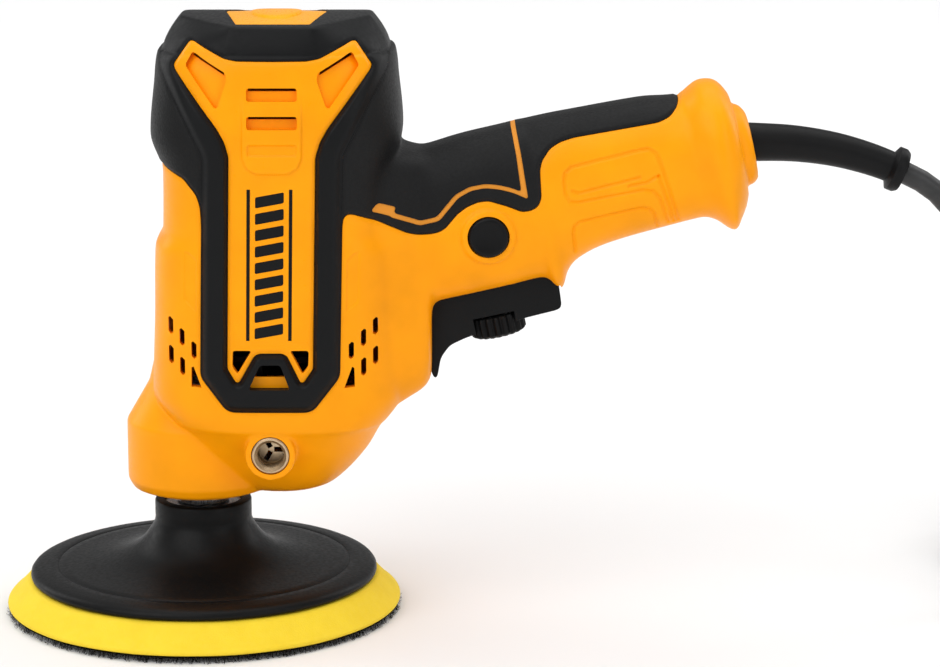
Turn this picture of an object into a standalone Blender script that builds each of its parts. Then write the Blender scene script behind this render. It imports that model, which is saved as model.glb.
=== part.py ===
"""Rotary polisher with a 125 mm hook-faced pad, a geared spindle beside the motor and a rear handle.

Frame: the origin is the middle of the pad's working face, on the spindle's axis. +Z is up the
spindle, +X runs towards the handle, and the two housing shells meet on the plane Y = 0.
All named sizes are in millimetres. Meshes are in metres.
"""

import math

import bmesh
import bpy
from mathutils import Matrix, Vector

MM = 0.001
GAP = 0.3  # clearance kept between neighbouring solids

# Pad and spindle
PAD_RADIUS = 62.5
PAD_NECK_RADIUS = 55.0
HOOK_TOP = 2.0
FOAM_TOP = 10.8
HUB_RADIUS = 15.3
HUB_TOP = 35.6
SPINDLE_RADIUS = 5.0
SPINDLE_TIP_RADIUS = 4.0

# Motor and gears
GEAR_MODULE = 0.8
PINION_TEETH = 12
WHEEL_TEETH = 50
MOTOR_X = GEAR_MODULE * (PINION_TEETH + WHEEL_TEETH) / 2
GEAR_LOW = 53.5
GEAR_HIGH = 61.5
STATOR_RADIUS = 29.3
STATOR_LOW = 92.0
STATOR_HIGH = 129.0
BRUSH_Z = 145.5

# Housing
TOP_Z = 190.7
HEAD_RADIUS = 23.5
WALL = 2.8
SKIN = 1.6  # thickness of the black and orange outer skins
SEAT = SKIN + GAP
PROUD = 1.8  # how far the black frame stands out of the barrel

# Handle: a tilted frame, s along the handle and v square to it
HANDLE_TILT = math.radians(12.0)
TRIGGER_HALF = 8.0
BUTTON_X = 90.0
BUTTON_Z = 123.9
BUTTON_RADIUS = 6.2
DIAL_S = 110.5
DIAL_LOW_V = 67.3
DIAL_HIGH_V = 73.3
DIAL_RADIUS = 8.75

# Side handle nut
NUT_X = 23.5
NUT_Z = 57.2
NUT_RADIUS = 5.7
NUT_BORE = 4.3

# Cord
CORD_RADIUS = 3.5
COIL_X = 300.0
COIL_Y = 45.5
COIL_INNER = 28.0
COIL_OUTER = 49.0
COIL_HEIGHT = 21.0
PLUG_HEIGHT = 33.5

# Barrel sections, bottom to top: height, half width in X, half depth in Y, squareness
BARREL = (
    (38.0, 12.0, 11.0, 2.2),
    (40.0, 16.4, 15.6, 2.3),
    (45.0, 21.2, 20.6, 2.4),
    (54.0, 28.0, 26.8, 2.7),
    (60.6, 31.5, 30.6, 2.9),
    (66.0, 35.2, 32.5, 3.1),
    (74.0, 39.9, 33.6, 3.3),
    (98.0, 39.0, 34.0, 3.4),
    (117.5, 38.4, 34.0, 3.4),
    (123.0, 35.9, 34.0, 3.4),
    (143.0, 35.6, 34.0, 3.4),
    (154.5, 39.0, 33.8, 3.4),
    (170.0, 37.7, 32.6, 3.2),
    (179.7, 36.2, 30.6, 3.0),
    (180.4, 34.9, 30.2, 3.0),
    (187.8, 31.4, 27.4, 2.6),
    (TOP_Z, 28.6, 25.2, 2.4),
)
BARREL_POINTS = 28

# Handle sections along s: place, lowest v, highest v, half width, squareness
HANDLE = (
    (66.0, 84.0, 129.0, 21.0, 2.8),
    (98.0, 79.6, 130.2, 18.8, 2.8),
    (112.0, 80.4, 131.4, 17.8, 2.8),
    (132.0, 81.6, 132.0, 17.2, 2.7),
    (139.0, 86.0, 132.0, 16.9, 2.6),
    (150.0, 89.0, 131.8, 16.5, 2.5),
    (168.0, 90.4, 131.2, 16.6, 2.5),
    (180.0, 90.9, 129.7, 17.2, 2.4),
    (187.1, 86.0, 132.9, 20.6, 2.3),
    (190.4, 85.4, 132.3, 21.2, 2.3),
    (195.5, 94.2, 126.9, 17.6, 2.3),
    (201.0, 99.5, 117.0, 10.5, 2.2),
)
HANDLE_POINTS = 18

# Web that joins the barrel to the handle: place in X, lowest z, highest z, half width
WEB = (
    (26.0, 60.0, 150.0, 31.0),
    (46.0, 61.0, 150.0, 29.6),
    (57.0, 63.4, 149.6, 25.6),
    (66.5, 68.9, 148.2, 20.4),
    (71.0, 72.4, 147.0, 17.8),
    (72.9, 76.2, 146.0, 16.6),
)
WEB_POINTS = 16

# Outlines seen from the front, as X and Z
PANEL_HALF = (  # right half of the orange vent panel, from its lower middle
    (0.0, 79.8), (6.0, 79.8), (9.0, 78.4), (13.0, 85.2), (13.3, 152.0),
    (16.0, 157.2), (31.4, 178.4), (26.6, 186.0), (14.4, 179.4), (0.0, 178.6),
)
FRAME_HALF = (  # right half of the black frame, from its lower middle
    (0.0, 71.6), (12.4, 71.6), (20.9, 82.2), (20.9, 150.0), (34.6, 176.0), (34.6, 180.0),
)
GRIP_LEFT = ((-30.0, 143.6), (-9.0, 143.6), (-2.0, 141.4), (1.6, 136.4))
GRIP_RIGHT = (
    (48.3, 132.6), (56.3, 129.4), (65.5, 124.4), (72.0, 123.8), (77.1, 125.4),
    (81.0, 130.0), (85.5, 133.0), (90.6, 133.8), (96.4, 132.2), (101.0, 130.4), (105.3, 131.6),
    (106.9, 135.0), (106.2, 143.2), (108.2, 148.2), (113.5, 152.0), (142.5, 157.6),
    (147.2, 160.2), (149.2, 164.0), (147.0, 172.0),
)
GRIP_FOOT = 131.0  # where the grips' lower edge meets the frame
TRIGGER_OUTLINE = (
    (73.3, 79.6), (74.0, 76.2), (74.8, 76.2), (75.7, 82.6), (78.5, 86.5), (83.5, 88.9),
    (101.8, 95.2), (112.6, 97.9), (113.6, 99.0), (112.4, 108.6), (110.5, 112.4), (73.3, 104.4),
)
TRIGGER_SLOT = (
    (71.2, 75.8), (74.0, 75.8), (118.0, 90.0), (114.2, 99.4), (113.6, 104.0), (113.0, 109.5),
    (111.4, 119.0), (71.2, 111.0),
)

SCREWS = (  # X and Z of the screws that pull the two shells together
    (-10.4, 106.0), (-9.8, 159.0), (57.8, 159.0), (43.2, 50.6), (64.4, 84.0), (122.4, 123.6),
    (147.5, 131.0),
)

ORANGE = (1.0, 0.36, 0.012)
BLACK = (0.02, 0.02, 0.02)
STEEL = (0.55, 0.55, 0.56)


# ---------------------------------------------------------------- scene and materials

def clear_scene():
    for old in list(bpy.data.objects):
        bpy.data.objects.remove(old, do_unlink=True)


def new_collection(name):
    collection = bpy.data.collections.new(name)
    bpy.context.scene.collection.children.link(collection)
    return collection


def finish_material(name, colour, roughness, metallic):
    material = bpy.data.materials.new(name)
    material.use_nodes = True
    shader = material.node_tree.nodes["Principled BSDF"]
    shader.inputs["Base Color"].default_value = (*colour, 1.0)
    shader.inputs["Roughness"].default_value = roughness
    shader.inputs["Metallic"].default_value = metallic
    return material


def orange_plastic(name):
    return finish_material(name, ORANGE, 0.38, 0.0)


def black_plastic(name):
    return finish_material(name, BLACK, 0.45, 0.0)


def black_rubber(name):
    return finish_material(name, (0.025, 0.025, 0.025), 0.7, 0.0)


def steel(name):
    return finish_material(name, STEEL, 0.3, 1.0)


def brass(name):
    return finish_material(name, (0.78, 0.57, 0.28), 0.3, 1.0)


def copper(name):
    return finish_material(name, (0.8, 0.35, 0.18), 0.35, 1.0)


def aluminium(name):
    return finish_material(name, (0.72, 0.73, 0.75), 0.4, 1.0)


def foam(name):
    return finish_material(name, (1.0, 0.76, 0.04), 0.9, 0.0)


def dark_fabric(name):
    return finish_material(name, (0.12, 0.11, 0.06), 0.95, 0.0)


def grey_felt(name):
    return finish_material(name, (0.3, 0.29, 0.27), 0.95, 0.0)


def carbon(name):
    return finish_material(name, (0.05, 0.05, 0.055), 0.6, 0.2)


def pale_plastic(name):
    return finish_material(name, (0.6, 0.6, 0.58), 0.6, 0.0)


# ---------------------------------------------------------------- meshes

def to_object(name, mesh, collection):
    made = bpy.data.objects.new(name, mesh)
    collection.objects.link(made)
    if collection is CUTTERS:
        made.hide_render = True
        made.display_type = "WIRE"
    return made


def bake(target):
    """Replace an object's mesh, or its curve, by the mesh that its modifiers give."""
    bpy.context.view_layer.update()
    graph = bpy.context.evaluated_depsgraph_get()
    mesh = bpy.data.meshes.new_from_object(target.evaluated_get(graph))
    target.modifiers.clear()
    target.data = mesh


def mesh_from_curve(curve_object, collection):
    """A closed mesh object in place of a curve, with its caps welded."""
    bpy.context.view_layer.update()
    graph = bpy.context.evaluated_depsgraph_get()
    mesh = bpy.data.meshes.new_from_object(curve_object.evaluated_get(graph))
    bm = bmesh.new()
    bm.from_mesh(mesh)
    bmesh.ops.remove_doubles(bm, verts=bm.verts, dist=0.000002)
    bmesh.ops.recalc_face_normals(bm, faces=bm.faces)
    bm.to_mesh(mesh)
    bm.free()
    made = to_object(curve_object.name + "_mesh", mesh, collection)
    made.matrix_world = curve_object.matrix_world
    name = curve_object.name
    bpy.data.objects.remove(curve_object, do_unlink=True)
    made.name = name
    return made


def loft(name, rings, collection):
    """A closed solid through rings that all have the same number of points."""
    bm = bmesh.new()
    loops = [[bm.verts.new(Vector(point) * MM) for point in ring] for ring in rings]
    count = len(loops[0])
    for low, high in zip(loops, loops[1:]):
        for i in range(count):
            j = (i + 1) % count
            bm.faces.new((low[i], low[j], high[j], high[i]))
    bm.faces.new(loops[0])
    bm.faces.new(loops[-1])
    bmesh.ops.recalc_face_normals(bm, faces=bm.faces)
    mesh = bpy.data.meshes.new(name)
    bm.to_mesh(mesh)
    bm.free()
    return to_object(name, mesh, collection)


def slab(name, outlines, low, high, collection, upright=True):
    """A flat plate from closed outlines. Upright plates lie in XZ and run from low to high in Y."""
    curve = bpy.data.curves.new(name, "CURVE")
    curve.dimensions = "2D"
    curve.fill_mode = "BOTH"
    curve.extrude = (high - low) / 2 * MM
    for outline in outlines:
        spline = curve.splines.new("POLY")
        spline.points.add(len(outline) - 1)
        for place, point in zip(spline.points, outline):
            place.co = (point[0] * MM, point[1] * MM, 0.0, 1.0)
        spline.use_cyclic_u = True
    made = to_object(name, curve, collection)
    middle = (high + low) / 2 * MM
    if upright:
        made.matrix_world = Matrix.Translation((0, middle, 0)) @ Matrix.Rotation(math.pi / 2, 4, "X")
    else:
        made.matrix_world = Matrix.Translation((0, 0, middle))
    return mesh_from_curve(made, collection)


def turned(name, profile, collection, steps=20, closed=False):
    """A turned shape about its own Z axis. The profile is radius and height, top to bottom."""
    mesh = bpy.data.meshes.new(name)
    count = len(profile)
    edges = [(i, i + 1) for i in range(count - 1)]
    if closed:
        edges.append((count - 1, 0))
    mesh.from_pydata([(radius * MM, 0, height * MM) for radius, height in profile], edges, [])
    made = to_object(name, mesh, collection)
    screw = made.modifiers.new("turn", "SCREW")
    screw.steps = steps
    screw.render_steps = steps
    screw.use_merge_vertices = True
    screw.merge_threshold = 0.00001
    bake(made)
    bm = bmesh.new()
    bm.from_mesh(made.data)
    bmesh.ops.remove_doubles(bm, verts=bm.verts, dist=0.000002)
    bmesh.ops.recalc_face_normals(bm, faces=bm.faces)
    bm.to_mesh(made.data)
    bm.free()
    return made


def rod(name, radius, low, high, collection, steps=16):
    return turned(name, ((0, high), (radius, high), (radius, low), (0, low)), collection, steps)


def ring(name, inner, outer, low, high, collection, steps=20):
    profile = ((outer, high), (outer, low), (inner, low), (inner, high))
    return turned(name, profile, collection, steps, closed=True)


def box(name, low, high, collection):
    bm = bmesh.new()
    bmesh.ops.create_cube(bm, size=1.0)
    size = [(b - a) * MM for a, b in zip(low, high)]
    middle = [(a + b) / 2 * MM for a, b in zip(low, high)]
    bmesh.ops.scale(bm, vec=size, verts=bm.verts)
    bmesh.ops.translate(bm, vec=middle, verts=bm.verts)
    mesh = bpy.data.meshes.new(name)
    bm.to_mesh(mesh)
    bm.free()
    return to_object(name, mesh, collection)


def tube(name, points, radius, collection, tapers=None, sides=2):
    """A round bar along points, as a poly curve with filled caps, made a mesh."""
    curve = bpy.data.curves.new(name, "CURVE")
    curve.dimensions = "3D"
    curve.bevel_depth = radius * MM
    curve.bevel_resolution = sides
    curve.use_fill_caps = True
    spline = curve.splines.new("POLY")
    spline.points.add(len(points) - 1)
    for i, point in enumerate(points):
        spline.points[i].co = (*(Vector(point) * MM), 1.0)
        if tapers:
            spline.points[i].radius = tapers[i]
    return mesh_from_curve(to_object(name, curve, collection), collection)


def lay_along(target, direction, place):
    """Turn an object's own Z axis to a direction and put its origin at a place."""
    turn = Vector(direction).to_track_quat("Z", "Y").to_matrix().to_4x4()
    target.matrix_world = Matrix.Translation(Vector(place) * MM) @ turn
    bpy.context.view_layer.update()
    return target


def is_closed(mesh):
    bm = bmesh.new()
    bm.from_mesh(mesh)
    closed = len(bm.faces) > 0 and all(len(edge.link_faces) == 2 for edge in bm.edges)
    bm.free()
    return closed


def combine(target, tool, operation):
    """Boolean a tool into a target and drop the tool. MANIFOLD stands in where EXACT leaves a fault."""
    before = target.data.copy()
    for solver in ("EXACT", "MANIFOLD"):
        target.data = before
        modifier = target.modifiers.new("combine", "BOOLEAN")
        modifier.operation = operation
        modifier.solver = solver
        modifier.object = tool
        bake(target)
        if is_closed(target.data):
            break
    bpy.data.objects.remove(tool, do_unlink=True)
    return target


def group(name, shapes):
    """Several separate closed shapes as one cutter."""
    bm = bmesh.new()
    for shape in shapes:
        piece = shape.data.copy()
        piece.transform(shape.matrix_world)
        bm.from_mesh(piece)
        bpy.data.objects.remove(shape, do_unlink=True)
    mesh = bpy.data.meshes.new(name)
    bm.to_mesh(mesh)
    bm.free()
    return to_object(name, mesh, CUTTERS)


def cut(target, *tools):
    for tool in tools:
        combine(target, tool, "DIFFERENCE")
    return target


def join(target, *tools):
    for tool in tools:
        combine(target, tool, "UNION")
    return target


def mirrored(source, name, collection):
    """A copy of an object on the other side of the plane Y = 0."""
    made = to_object(name, source.data.copy(), collection)
    bm = bmesh.new()
    bm.from_mesh(made.data)
    bm.transform(source.matrix_world)
    bmesh.ops.scale(bm, vec=(1, -1, 1), verts=bm.verts)
    bmesh.ops.reverse_faces(bm, faces=bm.faces)
    bm.to_mesh(made.data)
    bm.free()
    return made


def keep_front(target):
    """Leave only the half of a closed mesh in front of the parting plane."""
    bm = bmesh.new()
    bm.from_mesh(target.data)
    parts = bm.verts[:] + bm.edges[:] + bm.faces[:]
    plane = (0, -GAP / 2 * MM, 0)
    found = bmesh.ops.bisect_plane(bm, geom=parts, plane_co=plane, plane_no=(0, 1, 0), clear_outer=True)
    edges = [item for item in found["geom_cut"] if isinstance(item, bmesh.types.BMEdge)]
    bmesh.ops.holes_fill(bm, edges=edges, sides=0)
    bmesh.ops.recalc_face_normals(bm, faces=bm.faces)
    bm.to_mesh(target.data)
    bm.free()
    return target


def paint(target, material):
    target.data.materials.clear()
    target.data.materials.append(material)
    target.data.shade_smooth()
    target.data.set_sharp_from_angle(angle=math.radians(35))
    return target


def publish(shape, name, finish):
    """Make a shape that was worked on among the cutters a named part with its own material."""
    CUTTERS.objects.unlink(shape)
    PARTS.objects.link(shape)
    shape.hide_render = False
    shape.display_type = "TEXTURED"
    shape.name = name
    return paint(shape, finish(name))


# ---------------------------------------------------------------- outlines

def superellipse(half_a, half_b, power, count):
    """Points around a rounded box: the higher the power, the squarer."""
    points = []
    for i in range(count):
        angle = 2 * math.pi * (i + 0.5) / count
        c, s = math.cos(angle), math.sin(angle)
        a = half_a * math.copysign(abs(c) ** (2 / power), c)
        b = half_b * math.copysign(abs(s) ** (2 / power), s)
        points.append((a, b))
    return points


def handle_point(s, y, v):
    """A place in the handle's own tilted frame, as X, Y and Z."""
    c, d = math.cos(HANDLE_TILT), math.sin(HANDLE_TILT)
    return (s * c - v * d, y, s * d + v * c)


def both_sides(half, middle):
    """A closed outline from its right half."""
    right = [(middle + x, z) for x, z in half]
    left = [(middle - x, z) for x, z in reversed(half) if x > 0]
    return right + left


def grown(outline, amount):
    """Move every side of a closed outline outwards."""
    count = len(outline)
    area = sum(outline[i - 1][0] * outline[i][1] - outline[i][0] * outline[i - 1][1] for i in range(count))
    side = amount if area > 0 else -amount
    moved = []
    for i in range(count):
        before, here, after = (Vector(outline[(i + k) % count]) for k in (-1, 0, 1))
        first = (here - before).normalized()
        second = (after - here).normalized()
        across = Vector((first.y + second.y, -first.x - second.x))
        length = 1 + first.dot(second)
        moved.append(tuple(here + across * (side / max(length, 0.4))))
    return moved


def gear_outline(teeth, thinner):
    """Involute teeth at a 20 degree pressure angle, each made thinner for backlash."""
    pitch = GEAR_MODULE * teeth / 2
    base = pitch * math.cos(math.radians(20))
    root = pitch - 1.2 * GEAR_MODULE
    tip = pitch + 0.95 * GEAR_MODULE

    def involute(radius):
        angle = math.acos(min(1.0, base / radius))
        return math.tan(angle) - angle

    half_at_pitch = math.pi / (2 * teeth) - thinner / (2 * pitch)
    points = []
    for tooth in range(teeth):
        middle = 2 * math.pi * tooth / teeth
        flank = []
        for radius in (max(base, root), pitch, tip):
            flank.append((radius, half_at_pitch + involute(pitch) - involute(radius)))
        flank[0] = (root, flank[0][1])
        shape = [(r, -a) for r, a in flank] + [(r, a) for r, a in reversed(flank)]
        points += [(r * math.cos(middle + a), r * math.sin(middle + a)) for r, a in shape]
    return points


def circle(radius, count, x=0.0, y=0.0):
    turn = 2 * math.pi / count
    return [(x + radius * math.cos(i * turn), y + radius * math.sin(i * turn)) for i in range(count)]


# ---------------------------------------------------------------- housing surfaces

def barrel_body(name, inset, proud=0.0):
    """The motor barrel, its bowl and its cap, smaller by the inset all round."""
    low, high = BARREL[0][0] + inset, BARREL[-1][0] - inset
    rings = []
    for height, half_x, half_y, power in BARREL:
        if BARREL[0][0] < height < low + 0.4 or high - 0.4 < height < BARREL[-1][0]:
            continue
        z = min(max(height, low), high)
        deep = half_y - inset + proud * min(1.0, max(0.0, (186.0 - height) / 20.0))
        section = superellipse(half_x - inset, deep, power, BARREL_POINTS)
        rings.append([(MOTOR_X + x, y, z) for x, y in section])
    return loft(name, rings, CUTTERS)


def head_body(name, inset):
    """The round gear head around the spindle, with a rounded lower edge and a sloped shoulder."""
    radius = HEAD_RADIUS - inset * 0.8
    low = 38.0 + inset
    profile = (
        (0, 84.0 - inset), (radius - 9.6, 84.0 - inset), (radius - 7.2, 74.0 - inset * 0.4),
        (radius, 61.6 - inset * 0.3), (radius, low + 4.0), (radius - 1.4, low + 1.4),
        (radius - 5.0, low), (0, low),
    )
    return turned(name, profile, CUTTERS, 28)


def handle_body(name, inset):
    rings = []
    last = HANDLE[-1][0] - inset
    for place, low, high, half, power in HANDLE:
        s = min(place, last)
        middle, tall = (low + high) / 2, (high - low) / 2 - inset
        section = superellipse(half - inset, tall, power, HANDLE_POINTS)
        rings.append([handle_point(s, y, middle + v) for y, v in section])
    return loft(name, rings, CUTTERS)


def web_body(name, inset):
    rings = []
    last = WEB[-1][0] - inset
    for i, (place, low, high, half) in enumerate(WEB):
        x = min(place, last - 0.8 * (len(WEB) - 1 - i) * (place > last))
        middle, tall = (low + high) / 2, (high - low) / 2 - inset
        section = superellipse(half - inset, tall, 4.5, WEB_POINTS)
        rings.append([(x, y, middle + z) for y, z in section])
    return loft(name, rings, CUTTERS)


def whole_body(name, inset):
    body = barrel_body(name, inset)
    return join(body, head_body("head", inset), handle_body("handle", inset), web_body("web", inset))


def body_zone():
    """Outline of everything that the black skins and the vent panel cover."""
    corners = FRAME_HALF[1:3] + ((FRAME_HALF[2][0], GRIP_FOOT),)
    right = [(MOTOR_X + x, z) for x, z in corners]
    left = [(MOTOR_X - x, z) for x, z in reversed(corners)]
    top = [(147.0, 205.0), (-30.0, 205.0)]
    return right + list(GRIP_RIGHT) + top + list(GRIP_LEFT) + left


# ---------------------------------------------------------------- housing parts

def vent_slots():
    """Upright slots low on both flanks of the barrel, in front of the parting plane."""
    slots = []
    for side in (1, -1):
        for column in range(3):
            for row in range(2):
                middle = MOTOR_X + side * (25.0 + 3.7 * column)
                z = 85.0 + 3.2 * column + 8.6 * row
                slant = 0.9 * side
                outline = (
                    (middle - 0.8, z - 2.6), (middle + 0.8, z - 2.6 + slant),
                    (middle + 0.8, z + 2.6 + slant), (middle - 0.8, z + 2.6),
                )
                slots.append(slab("slot", [outline], -40, -18, CUTTERS))
    return group("vent_slots", slots)


def panel_openings(deep):
    """The panel's two slots and its two lower vents, cut from in front to a depth in Y."""
    shapes = []
    for z in (160.4, 168.8):
        slot = ((-7.6, z - 2), (7.6, z - 2), (7.6, z + 2), (-7.6, z + 2))
        shapes.append([(MOTOR_X + x, height) for x, height in slot])
    for side in (1, -1):
        triangle = ((5.6, 90.4), (11.4, 90.4), (11.4, 86.0), (9.2, 83.6))
        shapes.append([(MOTOR_X + side * x, z) for x, z in triangle])
    return group("openings", [slab("opening", [shape], -45, deep, CUTTERS) for shape in shapes])


def wing_windows(deep):
    """The two slanted windows in the panel's wings."""
    window = ((26.0, 181.0), (28.2, 178.4), (17.4, 166.0), (15.2, 172.0), (15.6, 175.4))
    cutters = []
    for side in (1, -1):
        outline = [(MOTOR_X + side * x, z) for x, z in window]
        cutters.append(slab("window", [outline], -45, deep, CUTTERS))
    return group("windows", cutters)


def along_y(name, radius, x, z, low, high, steps=12):
    """A round bar along Y, as a cutter."""
    return lay_along(rod(name, radius, 0, high - low, CUTTERS, steps), (0, 1, 0), (x, low, z))


def screw_bosses():
    """Round pillars for the shell screws, trimmed to the inside of the front shell's wall."""
    bosses = [along_y("boss", 4.6, x, z, -34, -GAP / 2, 8) for x, z in SCREWS]
    return combine(group("bosses", bosses), whole_body("limit", WALL - 0.5), "INTERSECT")


def make_shells():
    """The two orange shells: the front one first, then its mirror image, each with its own holes."""
    shell = keep_front(whole_body("shell", 0.0))
    combine(shell, whole_body("hollow", WALL), "DIFFERENCE")
    zone = slab("zone", [grown(body_zone(), GAP)], -60, 10, CUTTERS)
    combine(zone, whole_body("seat", SEAT), "DIFFERENCE")
    combine(shell, zone, "DIFFERENCE")
    join(shell, screw_bosses(), along_y("nut_boss", 7.9, NUT_X, NUT_Z, -32.4, -22.6, 20))
    cut(shell, along_y("nut_bore", NUT_RADIUS + GAP, NUT_X, NUT_Z, -45, 0, 20))
    cut(shell, rod("spindle_hole", 12.6, 30, 45, CUTTERS))
    cut(shell, slab("trigger_slot", [TRIGGER_SLOT], -8.4, 5, CUTTERS))
    cut(shell, lay_along(rod("relief_hole", 6.9, 0, 20, CUTTERS), (1, 0, 0), (160, 0, 149.5)))
    cut(shell, vent_slots(), panel_openings(-22))

    rear = mirrored(shell, "housing_rear", PARTS)
    paint(rear, orange_plastic("housing_rear"))
    front = publish(shell, "housing_front", orange_plastic)
    cut(front, along_y("button_hole", BUTTON_RADIUS + GAP, BUTTON_X, BUTTON_Z, -30, -8, 24))
    cut(front, group("pilots", [along_y("pilot", 2.1, x, z, -12.5, 5, 8) for x, z in SCREWS]))
    cut(rear, group("shafts", [along_y("shaft", 2.1, x, z, -5, 12, 8) for x, z in SCREWS]))
    cut(rear, group("sinks", [along_y("sink", 3.5, x, z, 9, 40, 10) for x, z in SCREWS]))


def skin_of(name, outline):
    """The outer skin in front of the parting plane, as far as an outline reaches."""
    skin = keep_front(whole_body(name, 0.0))
    combine(skin, whole_body("under", SKIN), "DIFFERENCE")
    return combine(skin, slab("outline", [outline], -60, 10, CUTTERS), "INTERSECT")


def make_skins():
    """Soft black grips, the black frame over the barrel and the orange vent panels in it."""
    panel_outline = both_sides(PANEL_HALF, MOTOR_X)
    frame_outline = both_sides(FRAME_HALF, MOTOR_X)
    frame_zone = frame_outline[:6] + [(100.0, 180.0), (100.0, 230.0), (-60.0, 230.0), (-60.0, 180.0)]
    frame_zone += frame_outline[6:]

    for name, low, high in (("side_pad", -100, MOTOR_X), ("grip", MOTOR_X, 300)):
        grip = skin_of(name, body_zone())
        cut(grip, slab("frame_zone", [grown(frame_zone, GAP)], -80, 20, CUTTERS))
        combine(grip, box("side", (low, -80, 0), (high, 80, 300), CUTTERS), "INTERSECT")
        rear = paint(mirrored(grip, name + "_rear", PARTS), black_rubber(name + "_rear"))
        covered = [(x, z) for x, z in SCREWS if z > 150 and low < x < high]
        sinks = [along_y("sink", 3.5 + GAP, x, z, 9, 40, 10) for x, z in covered]
        cut(rear, group("sinks", sinks))
        publish(grip, name + "_front", black_rubber)

    panel = skin_of("vent_panel", panel_outline)
    cut(panel, panel_openings(0), wing_windows(0))
    paint(mirrored(panel, "vent_panel_rear", PARTS), orange_plastic("vent_panel_rear"))
    publish(panel, "vent_panel_front", orange_plastic)

    frame = barrel_body("top_frame", 0.0, PROUD)
    combine(frame, barrel_body("under", SKIN), "DIFFERENCE")
    combine(frame, slab("frame_zone", [frame_zone], -80, 80, CUTTERS), "INTERSECT")
    cut(frame, slab("panel_hole", [grown(panel_outline, GAP)], -80, 80, CUTTERS))
    cut(frame, slab("insert_hole", [grown(cap_insert_outline(), GAP)], 180, 200, CUTTERS, upright=False))
    publish(frame, "top_frame", black_plastic)


def cap_insert_outline():
    half = ((-10.4, -21.5), (10.4, -21.5), (14.8, 0.0), (10.4, 21.5), (-10.4, 21.5), (-14.8, 0.0))
    return [(MOTOR_X + x, y) for x, y in half]


def make_cap_insert():
    insert = slab("top_insert", [cap_insert_outline()], TOP_Z - 1.5, TOP_Z - 0.1, CUTTERS, upright=False)
    dome = turned("dome", ((0, 191.3), (5.6, 191.1), (8.0, 190.4), (8.0, 189.8), (0, 189.8)), CUTTERS)
    dome.location.x = MOTOR_X * MM
    dome.scale.y = 1.5
    bpy.context.view_layer.update()
    join(insert, dome)
    publish(insert, "top_insert", orange_plastic)


def make_side_handle_nuts():
    """A threaded brass bush on each side of the gear head, for an auxiliary handle."""
    for name, side in (("side_handle_nut_front", -1), ("side_handle_nut_rear", 1)):
        made = ring(name, NUT_BORE, NUT_RADIUS, 0, 9.6, PARTS, 24)
        lay_along(made, (0, side, 0), (NUT_X, side * 23.2, NUT_Z))
        paint(made, brass(name))


def make_screws():
    for number, (x, z) in enumerate(SCREWS, 1):
        name = f"housing_screw_{number}"
        profile = ((0, 2.2), (3.0, 2.0), (3.0, 0), (1.7, 0), (1.7, -20.0), (0, -21.0))
        made = turned(name, profile, PARTS, 8)
        lay_along(made, (0, 1, 0), (x, 9.3, z))
        paint(made, steel(name))


# ---------------------------------------------------------------- spindle and pad

def make_pad():
    """Everything below the head that turns: hook face, foam, backing plate and its steel hub nut."""
    profile = ((0, HOOK_TOP), (61.6, HOOK_TOP), (PAD_RADIUS, 1.0), (62.0, 0), (0, 0))
    paint(turned("hook_face", profile, PARTS, 40), dark_fabric("hook_face"))

    low = HOOK_TOP + GAP
    profile = (
        (0, FOAM_TOP), (PAD_NECK_RADIUS, FOAM_TOP), (61.2, 4.6), (PAD_RADIUS, 3.2), (PAD_RADIUS, low),
        (0, low),
    )
    paint(turned("foam_pad", profile, PARTS, 40), foam("foam_pad"))

    low = FOAM_TOP + GAP
    plate = turned(
        "backing_plate",
        (
            (HUB_RADIUS, HUB_TOP), (HUB_RADIUS, 32.0), (18.0, 27.6), (25.0, 20.8), (33.0, 17.2),
            (43.5, 15.0), (53.4, 14.2), (55.0, 12.6), (54.6, low), (9.3, low), (9.3, 24.0),
            (12.3, 24.0), (12.3, HUB_TOP),
        ),
        PARTS, 32, closed=True,
    )
    paint(plate, black_plastic("backing_plate"))

    profile = ((11.9, 34.6), (11.9, 24.4), (5.4, 24.4), (5.4, 34.6))
    paint(turned("pad_hub_nut", profile, PARTS, 20, closed=True), steel("pad_hub_nut"))


def make_spindle():
    profile = (
        (0, 71.8), (SPINDLE_TIP_RADIUS, 71.8), (SPINDLE_TIP_RADIUS, 62.6), (SPINDLE_RADIUS, 62.6),
        (SPINDLE_RADIUS, 38.4), (8.4, 38.4), (8.4, 35.2), (SPINDLE_RADIUS, 35.2), (SPINDLE_RADIUS, 16.0),
        (0, 16.0),
    )
    paint(turned("spindle", profile, PARTS, 20), steel("spindle"))

    teeth = gear_outline(WHEEL_TEETH, 0.22)
    outlines = [teeth, circle(SPINDLE_RADIUS + GAP, 24)]
    wheel = slab("drive_gear", outlines, GEAR_LOW, GEAR_HIGH, PARTS, upright=False)
    paint(wheel, steel("drive_gear"))


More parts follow.
